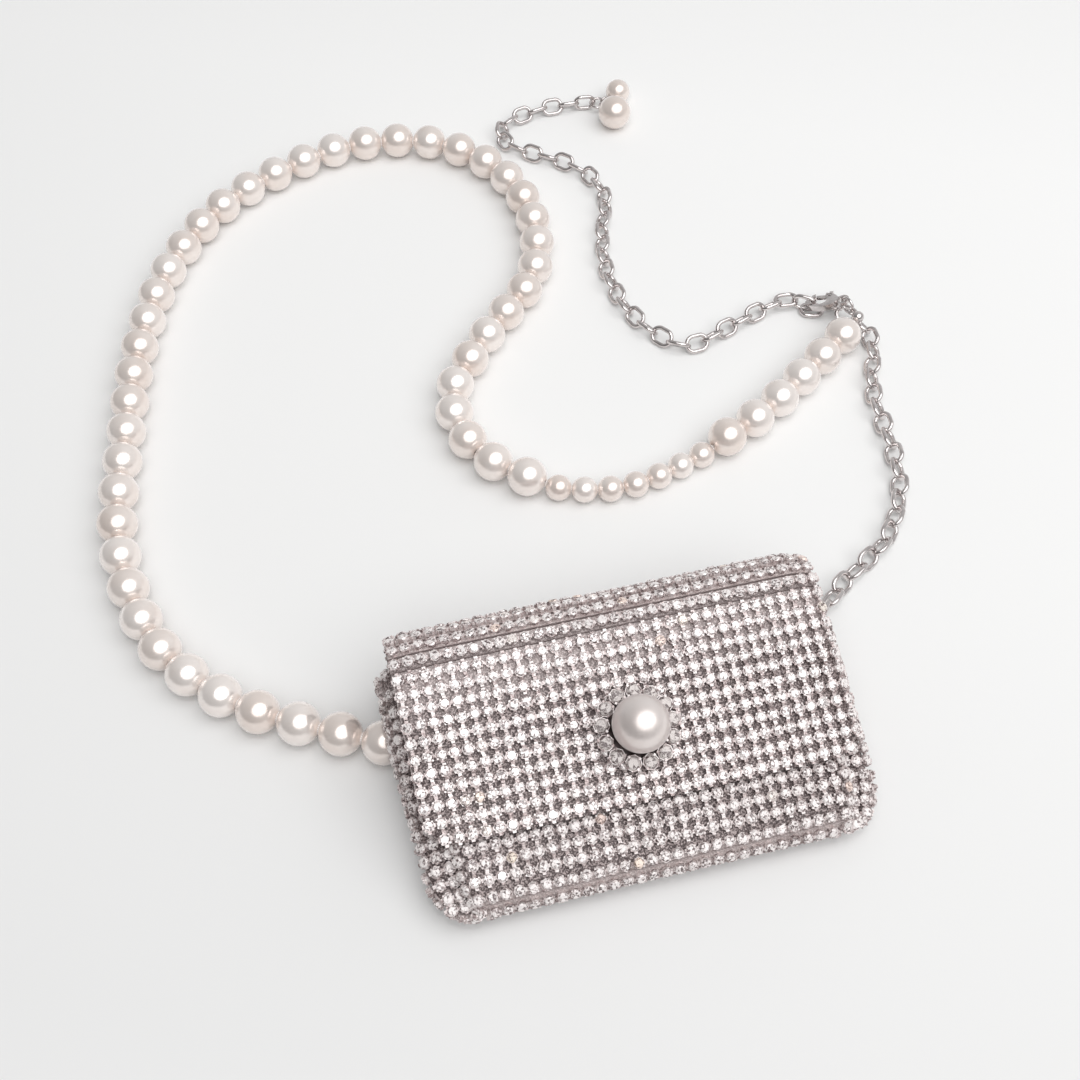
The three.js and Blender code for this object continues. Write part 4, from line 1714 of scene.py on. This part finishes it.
@dataclass
class PearlString:
    """String of pearls: large, a short run of small, then large again."""

    runs: tuple[tuple[int, float], ...] = ((46, 6.0), (7, 4.0), (6, 6.0))
    thread: float = 0.6
    thread_end: float = 5.5
    hole: float = 0.9
    hole_inset: tuple[float, float] = (0.7, 0.93)
    knot: tuple[float, float] = (1.35, 0.32)
    route: tuple[tuple[float, float], ...] = (
        (-62, 17.5), (-79.5, 26.5), (-99.5, 39.5), (-115.5, 58), (-123.5, 81), (-125.5, 106),
        (-120.5, 141), (-113.5, 177), (-100.5, 212), (-79.5, 239), (-48.5, 256), (-24.5, 260.5),
        (-1.5, 255), (16.5, 238), (24.5, 212), (18.5, 180), (-4.5, 154), (-19.5, 132),
        (-17, 110), (-0.5, 93), (23.5, 86), (46.5, 91), (72.5, 102), (91.5, 114.5), (109.5, 127.5),
    )

    def radii(self) -> np.ndarray:
        """Returns the radius of every pearl in order."""
        return np.concatenate([np.full(count, radius) for count, radius in self.runs])

    def curve(self, height: float = 0.0) -> Route:
        """Returns the route at a height."""
        return Route([(x, y, height) for x, y in self.route])

    def bead_unit(self) -> Object:
        """Builds a drilled pearl of radius one with rounded hole rims."""
        hole = self.hole / self.runs[0][1]
        share, inner = self.hole_inset
        reach = math.acos(hole)
        sides = [(math.cos(turn), math.sin(turn)) for turn in np.linspace(-reach, reach, 21)]
        profile = [(hole * share, -inner), *sides, (hole * share, inner), (hole * share, -inner)]
        return to_object("bead_unit", lathe(profile, 36), weld=0.0005)

    def build(self, bench: Bench) -> None:
        """Builds and dresses the pearls, their knots and their thread.

        Args:
            bench: What the pieces are made with.
        """
        radii = self.radii()
        curve = self.curve()
        spare = (curve.length - (2 * radii.sum() - radii[0] - radii[-1])) / (len(radii) - 1)
        steps = radii[:-1] + radii[1:] + spare
        places = np.concatenate([[0.0], np.cumsum(steps)])
        centres = curve.at(places)
        centres[:, 2] = radii
        headings = curve.heading(places)
        cloud = Cloud()
        for spot, heading, radius in zip(centres, headings, radii):
            cloud.add(spot, heading, UP, radius)
        bead = self.bead_unit()
        bench.seating.seat("pearl_beads", cloud, bead, bench.finishes.pearl, "pearl_string", seed=41)
        bpy.data.objects.remove(bead)
        coil = to_object("knot_unit", torus(*self.knot, 20, 8))
        thread = bench.finishes.thread
        bench.seating.seat("bead_knots", self._creases(centres, radii), coil, thread, seed=43)
        bpy.data.objects.remove(coil)
        first, last = (self.thread_end * headings[end] for end in (0, -1))
        path = Route([centres[0] - first, *centres, centres[-1] + last], 6).samples
        dress(to_object("bead_thread", tube(path, self.thread)), thread)

    @staticmethod
    def _creases(centres: np.ndarray, radii: np.ndarray) -> Cloud:
        """Returns the place of a knot in every crease between two pearls.

        Args:
            centres: Centres of the pearls.
            radii: Radii of the pearls.

        Returns:
            The places, smaller beside small pearls.
        """
        cloud = Cloud()
        for here, there, near, far in zip(centres, centres[1:], radii, radii[1:]):
            step = unit(there - here)
            cloud.add((here + near * step + there - far * step) / 2, step, UP, min(near, far) / radii.max())
        return cloud


@dataclass
class ChainLink:
    """Oval link of round wire."""

    length: float = 8.6
    width: float = 6.5
    wire: float = 1.45
    pitch: float = 6.15
    rest: float = 2.7
    lean: float = 45.0

    def unit(self) -> Object:
        """Builds one link with its long side on X, from a tree with its sizes as inputs."""
        sizes = {
            "Bend Radius": (self.width - self.wire) / 2 * MM,
            "Straight Half": (self.length - self.width) / 2 * MM,
            "Wire Radius": self.wire / 2 * MM,
        }
        made = Tree("oval_link", dict.fromkeys(sizes, "NodeSocketFloat"))
        given = made.entry.outputs
        circle = "GeometryNodeCurvePrimitiveCircle"
        path, section = (
            made.node(circle, {"Resolution": sides, "Radius": given[radius]}, mode="RADIUS")
            for sides, radius in ((32, "Bend Radius"), (12, "Wire Radius"))
        )
        split = made.node("ShaderNodeSeparateXYZ", {0: made.node("GeometryNodeInputPosition").outputs[0]})
        side = made.node("ShaderNodeMath", {0: split.outputs["X"]}, operation="SIGN")
        factors = {0: side.outputs[0], 1: given["Straight Half"]}
        far = made.node("ShaderNodeMath", factors, operation="MULTIPLY")
        offset = made.node("ShaderNodeCombineXYZ", {"X": far.outputs[0]}).outputs[0]
        inputs = {"Geometry": path.outputs["Curve"], "Offset": offset}
        stretched = made.node("GeometryNodeSetPosition", inputs)
        inputs = {"Curve": stretched.outputs["Geometry"], "Profile Curve": section.outputs["Curve"]}
        swept = made.node("GeometryNodeCurveToMesh", inputs)
        soft = made.node("GeometryNodeSetShadeSmooth", {"Geometry": swept.outputs["Mesh"]})
        made.feed(made.exit, {"Geometry": soft.outputs["Geometry"]})
        return made.applied(to_object("link_unit", Skin([np.zeros(3)], [])), sizes)

    @staticmethod
    def seat_on(cloud: Cloud, centre: np.ndarray, axis: np.ndarray, roll: float) -> None:
        """Adds a link to a cloud.

        Args:
            cloud: Cloud that receives the link.
            centre: Centre of the link.
            axis: Direction of its long side.
            roll: Roll from flat in degrees.
        """
        across = unit(np.cross(UP, axis))
        normal = np.cross(axis, across)
        turn = math.radians(roll)
        cloud.add(centre, math.cos(turn) * normal - math.sin(turn) * across, axis)


@dataclass
class Clasp:
    """End of the pearls: ball tip, jump ring, and the lobster clasp with its lever."""

    tip: float = 2.0
    tip_z: float = 8.0
    tip_loop: tuple[float, float] = (1.25, 0.4)
    loop_sunk: float = 0.2
    jump: tuple[float, float] = (2.5, 0.5)
    eye_u: float = 1.2
    bar_u: float = 13.2
    eye_z: float = 8.7
    heading: float = 146.0
    dip: float = 24.5
    gap: float = 0.3
    hang: float = 1.35
    hang_gap: float = 0.3
    axis: Place = (-0.3, 0.954, 0.0)

    def __post_init__(self) -> None:
        """Settles the places of the pieces from the end of the pearls."""
        string = PearlString()
        curve = string.curve(self.tip_z)
        end, heading = curve.spot(curve.length)
        axis = np.array(self.axis)
        self.tip_at = end + (string.runs[-1][1] + self.gap + self.tip) * heading
        self.loop_at = self.tip_at + axis * (self.tip + self.tip_loop[0] - self.loop_sunk)
        self.ring_at = self.loop_at + axis * self.jump[0]
        self.ring_at[2] = self.eye_z
        eye_at = self.ring_at + axis * self.jump[0]
        turn = math.radians(self.heading)
        self.forward = np.array([math.cos(turn), math.sin(turn), 0.0])
        self.bar_at = eye_at + self.forward * (self.bar_u - self.eye_u) * math.cos(math.radians(self.dip))

    def hooked(self, link: ChainLink) -> np.ndarray:
        """Returns the centre of the link that hangs in the hook."""
        centre = self.bar_at + self.hang * self.forward
        centre[2] = link.width / 2 + self.hang_gap
        return centre

    def build(self, bench: Bench) -> None:
        """Builds and dresses the tip, the ring, the hook, its pin and the lever.

        Args:
            bench: What the pieces are made with.
        """
        silver = bench.finishes.silver
        tip = lathe(ball(self.tip, 15), 24).moved(Matrix.Translation(self.tip_at))
        tip.add(torus(*self.tip_loop, 28, 10).moved(Matrix.Translation(self.loop_at)))
        dress(to_object("tip_ball", tip), silver, "string_tip")
        turn = math.atan2(self.axis[1], self.axis[0])
        upright = Matrix.Rotation(turn, 4, "Z") @ Matrix.Rotation(math.pi / 2, 4, "X")
        ring = torus(*self.jump).moved(Matrix.Translation(self.ring_at) @ upright)
        dress(to_object("jump_ring_wire", ring), silver, "jump_ring")
        bench.dress_copy("clasp_hook", "clasp_body", 0.22)
        bench.dress_copy("clasp_pin", "clasp_rivet", 0.08)
        bench.dress_copy("lever_arm", "clasp_lever", 0.16, Body.LEVER)


@dataclass
class Chain:
    """Chain from the bag to the clasp, and its free tail with the end ring."""

    link: ChainLink = field(default_factory=ChainLink)
    clasp: Clasp = field(default_factory=Clasp)
    strap: tuple[Place, ...] = (
        (58.1, 20.7, 5.2), (62.3, 25.1, 4.6), (69, 32, 3.3), (75, 37.6, 2.7), (84.5, 43.4, 2.7),
        (93.5, 49.6, 2.7), (101.5, 60, 2.7), (105.5, 68, 2.7), (108.5, 80, 2.7), (110, 93, 2.7),
        (111.5, 104, 2.7), (114.5, 113, 2.7), (118, 120.5, 2.7), (119.5, 127, 2.7),
        (118.8, 133, 2.7), (115.9, 138.7, 2.7), (111.5, 143.2, 2.9),
    )
    tail: tuple[tuple[float, float], ...] = (
        (99.1, 150.2), (92.5, 149), (83.5, 146), (72.5, 141.8), (60.5, 138.4), (52.3, 145.3), (45.5, 160),
        (44, 180), (47.9, 199), (53, 214), (50.8, 227.3), (43.5, 237), (32, 245.7),
        (25.2, 254.5), (28, 263), (36.5, 266.8), (47.5, 268.6), (54.5, 268.1), (61.2, 267.2),
    )
    end_ring: tuple[float, float] = (2.75, 0.55)
    gap: float = 0.3
    tuck: float = 2.9
    tuck_z: float = 1.05
    clear: float = 0.05

    def _tail_rows(self) -> list[Place]:
        """Returns the route of the tail at the height of its links."""
        return [(x, y, self.link.rest) for x, y in self.tail]

    def tail_end(self) -> tuple[np.ndarray, np.ndarray]:
        """Returns the centre of the end ring and the direction of the tail there."""
        start = self.clasp.hooked(self.link) + self.clasp.forward * (self.link.length / 2 + self.gap)
        start[2] = self.link.rest
        curve = Route([start, *self._tail_rows()])
        end, heading = curve.spot(curve.length)
        return end + heading * (self.gap + sum(self.end_ring)), heading

    def _lay(
        self, cloud: Cloud, centres: np.ndarray, axes: np.ndarray, rolls: dict[int, float], first: int = 0
    ) -> None:
        """Adds links that lean to either side in turn.

        Args:
            cloud: Cloud that receives the links.
            centres: Centres of the links.
            axes: Directions of the links.
            rolls: Rolls of the links that do not lean, by their places.
            first: Place of the first link that is added.
        """
        for place in range(first, len(centres)):
            lean = self.link.lean if place % 2 == 0 else -self.link.lean
            self.link.seat_on(cloud, centres[place], axes[place], rolls.get(place, lean))

    def strap_cloud(self) -> Cloud:
        """Returns the links from the clasp back to the bag, the hooked one first."""
        hooked = self.clasp.hooked(self.link)
        under = hooked - self.tuck * self.clasp.forward
        under[2] = self.tuck_z
        centres = Route([under, *self.strap[::-1]]).stepped(self.link.pitch)
        axes = self._axes(centres)
        axes[0] = unit(axes[0] * np.array([1, 1, 0]))
        last = len(centres) - 1
        cloud = Cloud()
        self.link.seat_on(cloud, hooked, self.clasp.forward, 90.0)
        self._lay(cloud, centres, axes, {0: 0.0, last - 1: 90.0, last: 0.0})
        return cloud

    def tail_cloud(self) -> Cloud:
        """Returns the links from the one after the hooked one to the end ring."""
        link = self.link
        ring_at, heading = self.tail_end()
        wire = link.wire / 2
        reach = self.end_ring[0] - self.end_ring[1] + link.length / 2 - 2 * wire
        last_at = ring_at - heading * reach
        last_at[2] = link.width / 2 + self.clear
        rows = [self.clasp.hooked(link), *self._tail_rows()[:-2], last_at]
        centres = Route(rows).stepped(link.pitch)
        axes = self._axes(centres)
        axes[-1] = heading
        cloud = Cloud()
        self._lay(cloud, centres, axes, {1: 0.0, len(centres) - 1: 90.0}, first=1)
        return cloud

    @staticmethod
    def _axes(centres: np.ndarray) -> np.ndarray:
        """Returns the direction of the chain at every link."""
        ahead = np.vstack([centres[1:], centres[-1:]])
        behind = np.vstack([centres[:1], centres[:-1]])
        return unit(ahead - behind)

    def build(self, bench: Bench) -> None:
        """Builds and dresses the links and the end ring.

        Args:
            bench: What the pieces are made with.
        """
        silver, seat = bench.finishes.silver, bench.seating.seat
        link = self.link.unit()
        seat("strap_links", self.strap_cloud(), link, silver, "chain_strap", seed=51, tilt=2.0)
        seat("tail_links", self.tail_cloud(), link, silver, "chain_tail", seed=52, tilt=2.0)
        bpy.data.objects.remove(link)
        ring_at, _ = self.tail_end()
        ring = torus(*self.end_ring).moved(Matrix.Translation(ring_at))
        dress(to_object("tail_ring_wire", ring), silver, "tail_ring")


@dataclass
class TailDrop:
    """Pearl on a looped pin that hangs from the end ring."""

    name: str
    radius: float
    heading: float
    stem: float
    loop: tuple[float, float] = (1.25, 0.4)
    gap: float = 0.3
    clear: float = 0.05

    def build(self, bench: Bench, chain: Chain) -> None:
        """Builds and dresses the pin and the pearl.

        Args:
            bench: What the pieces are made with.
            chain: Chain that carries the drop.
        """
        ring_at, _ = chain.tail_end()
        turn = math.radians(self.heading)
        loop_at = ring_at + chain.end_ring[0] * np.array([math.cos(turn), math.sin(turn), 0])
        tilt = math.asin((self.radius + self.clear - loop_at[2]) / (self.stem + self.radius))
        place = Matrix.Translation(loop_at) @ Matrix.Rotation(turn, 4, "Z") @ Matrix.Rotation(-tilt, 4, "Y")
        lying = Matrix.Rotation(math.pi / 2, 4, "Y")
        pin = torus(*self.loop, 28, 10).moved(Matrix.Rotation(math.pi / 2, 4, "X"))
        pin.add(lathe(self._cap(), 20).moved(lying))
        piece = to_object(f"drop_pin_{self.name}", pin.moved(place))
        dress(piece, bench.finishes.silver, f"tail_pin_{self.name}")
        centre = Matrix.Translation((self.stem + self.radius, 0, 0))
        bead = lathe(ball(self.radius, 27), 44).moved(place @ centre @ lying)
        dress(to_object(f"drop_pearl_{self.name}", bead), bench.finishes.pearl, f"tail_pearl_{self.name}")

    def _cap(self) -> Outline:
        """Returns the half outline of the pin from its loop to the cap on the pearl."""
        start, wire = self.loop
        foot = self.stem - self.gap
        neck = [(0, start - 0.2), (wire, start - 0.2), (wire, start + 0.1)]
        return neck + [(0.75, foot - 0.25), (0.9, foot), (0, foot)]


# Studio


@dataclass(frozen=True)
class Softbox:
    """Oval light that looks at the middle of the object.

    Attributes:
        name: Name of the light.
        towards: Direction from the object to the light.
        distance: Distance in metres.
        size: Width and height in metres.
        power: Power in watts.
    """

    name: str
    towards: Place
    distance: float
    size: tuple[float, float]
    power: float

    def place(self, target: Vector) -> None:
        """Adds the light to the scene.

        Args:
            target: Point that the light looks at, in metres.
        """
        lamp = bpy.data.lights.new(self.name, "AREA")
        lamp.shape = "ELLIPSE"
        lamp.size, lamp.size_y = self.size
        lamp.energy = self.power
        holder = linked(self.name, lamp)
        away = Vector(self.towards).normalized()
        holder.location = target + away * self.distance
        holder.rotation_euler = away.to_track_quat("Z", "Y").to_euler()


@dataclass
class Studio:
    """Pale table, soft light and the camera of the photograph."""

    eye: Place = (-63.2, -159.4, 338.4)
    forward: Place = (0.1398, 0.5650, -0.8131)
    lens: float = 46.67
    sensor: float = 36.0
    near: float = 0.01
    sky: float = 0.42
    sky_slope: Place = (0.20, 0.16, 0.0)
    target: Place = (0.0, 60.0, 10.0)
    table_half: float = 1500.0
    table_z: float = -0.05
    lights: tuple[Softbox, ...] = (
        Softbox("overhead_box", (0.18, -0.37, 0.911), 1.2, (2.0, 1.6), 13.2),
        Softbox("flash_box", (-0.06, -0.20, 0.977), 1.2, (0.13, 0.13), 0.75),
    )

    def build(self) -> None:
        """Adds the table, the lights, the surroundings and the camera."""
        ways = ((-1, -1), (1, -1), (1, 1), (-1, 1))
        corners = [np.array([x * self.table_half, y * self.table_half, self.table_z]) for x, y in ways]
        table = to_object("pale_table", Skin(corners, [(0, 1, 2, 3)]), Shade.FLAT)
        table.data.materials.append(FloorFinish().material())
        for light in self.lights:
            light.place(Vector(self.target) * MM)
        self._surroundings()
        self._camera()

    def _surroundings(self) -> None:
        """Adds a plain sky that brightens towards the back and the right."""
        world = bpy.data.worlds.new("studio")
        world.use_nodes = True
        made = NodeBuilder(world.node_tree)
        direction = made.node("ShaderNodeTexCoord").outputs["Generated"]
        slope = made.node("ShaderNodeVectorMath", {0: direction, 1: self.sky_slope}, operation="DOT_PRODUCT")
        total = made.node("ShaderNodeMath", {0: slope.outputs["Value"], 1: self.sky}, operation="ADD")
        white = (1.0, 1.0, 1.0, 1.0)
        made.feed(world.node_tree.nodes["Background"], {"Strength": total.outputs[0], "Color": white})
        bpy.context.scene.world = world
        bpy.context.scene.view_settings.view_transform = "Standard"

    def _camera(self) -> None:
        """Adds the camera without roll and makes it the scene's own."""
        ahead = Vector(self.forward).normalized()
        right = ahead.cross(Vector(UP)).normalized()
        above = right.cross(ahead)
        lens = bpy.data.cameras.new("photo_camera")
        lens.sensor_width = self.sensor
        lens.lens = self.lens
        lens.clip_start = self.near
        holder = linked("photo_camera", lens)
        turned = Matrix((right, above, -ahead)).transposed().to_4x4()
        holder.matrix_world = Matrix.Translation(Vector(self.eye) * MM) @ turned
        bpy.context.scene.camera = holder


def main() -> None:
    """Builds every sub-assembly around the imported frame."""
    logging.basicConfig(level=logging.INFO, format="%(name)s %(message)s")
    for leftover in list(bpy.data.objects):
        bpy.data.objects.remove(leftover)
    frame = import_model()
    Studio().build()
    bench = Bench(frame["nodes"])
    flap = Flap()
    flap.build(bench)
    Pocket().build(bench)
    Button().build(bench, flap)
    bench.units.clear()
    SideFittings().build(bench)
    PearlString().build(bench)
    chain = Chain()
    chain.clasp.build(bench)
    chain.build(bench)
    for drop in (TailDrop("small", 4.5, 16, 1.85), TailDrop("large", 6.0, -73, 3.4)):
        drop.build(bench, chain)


if __name__ == "__main__":
    main()
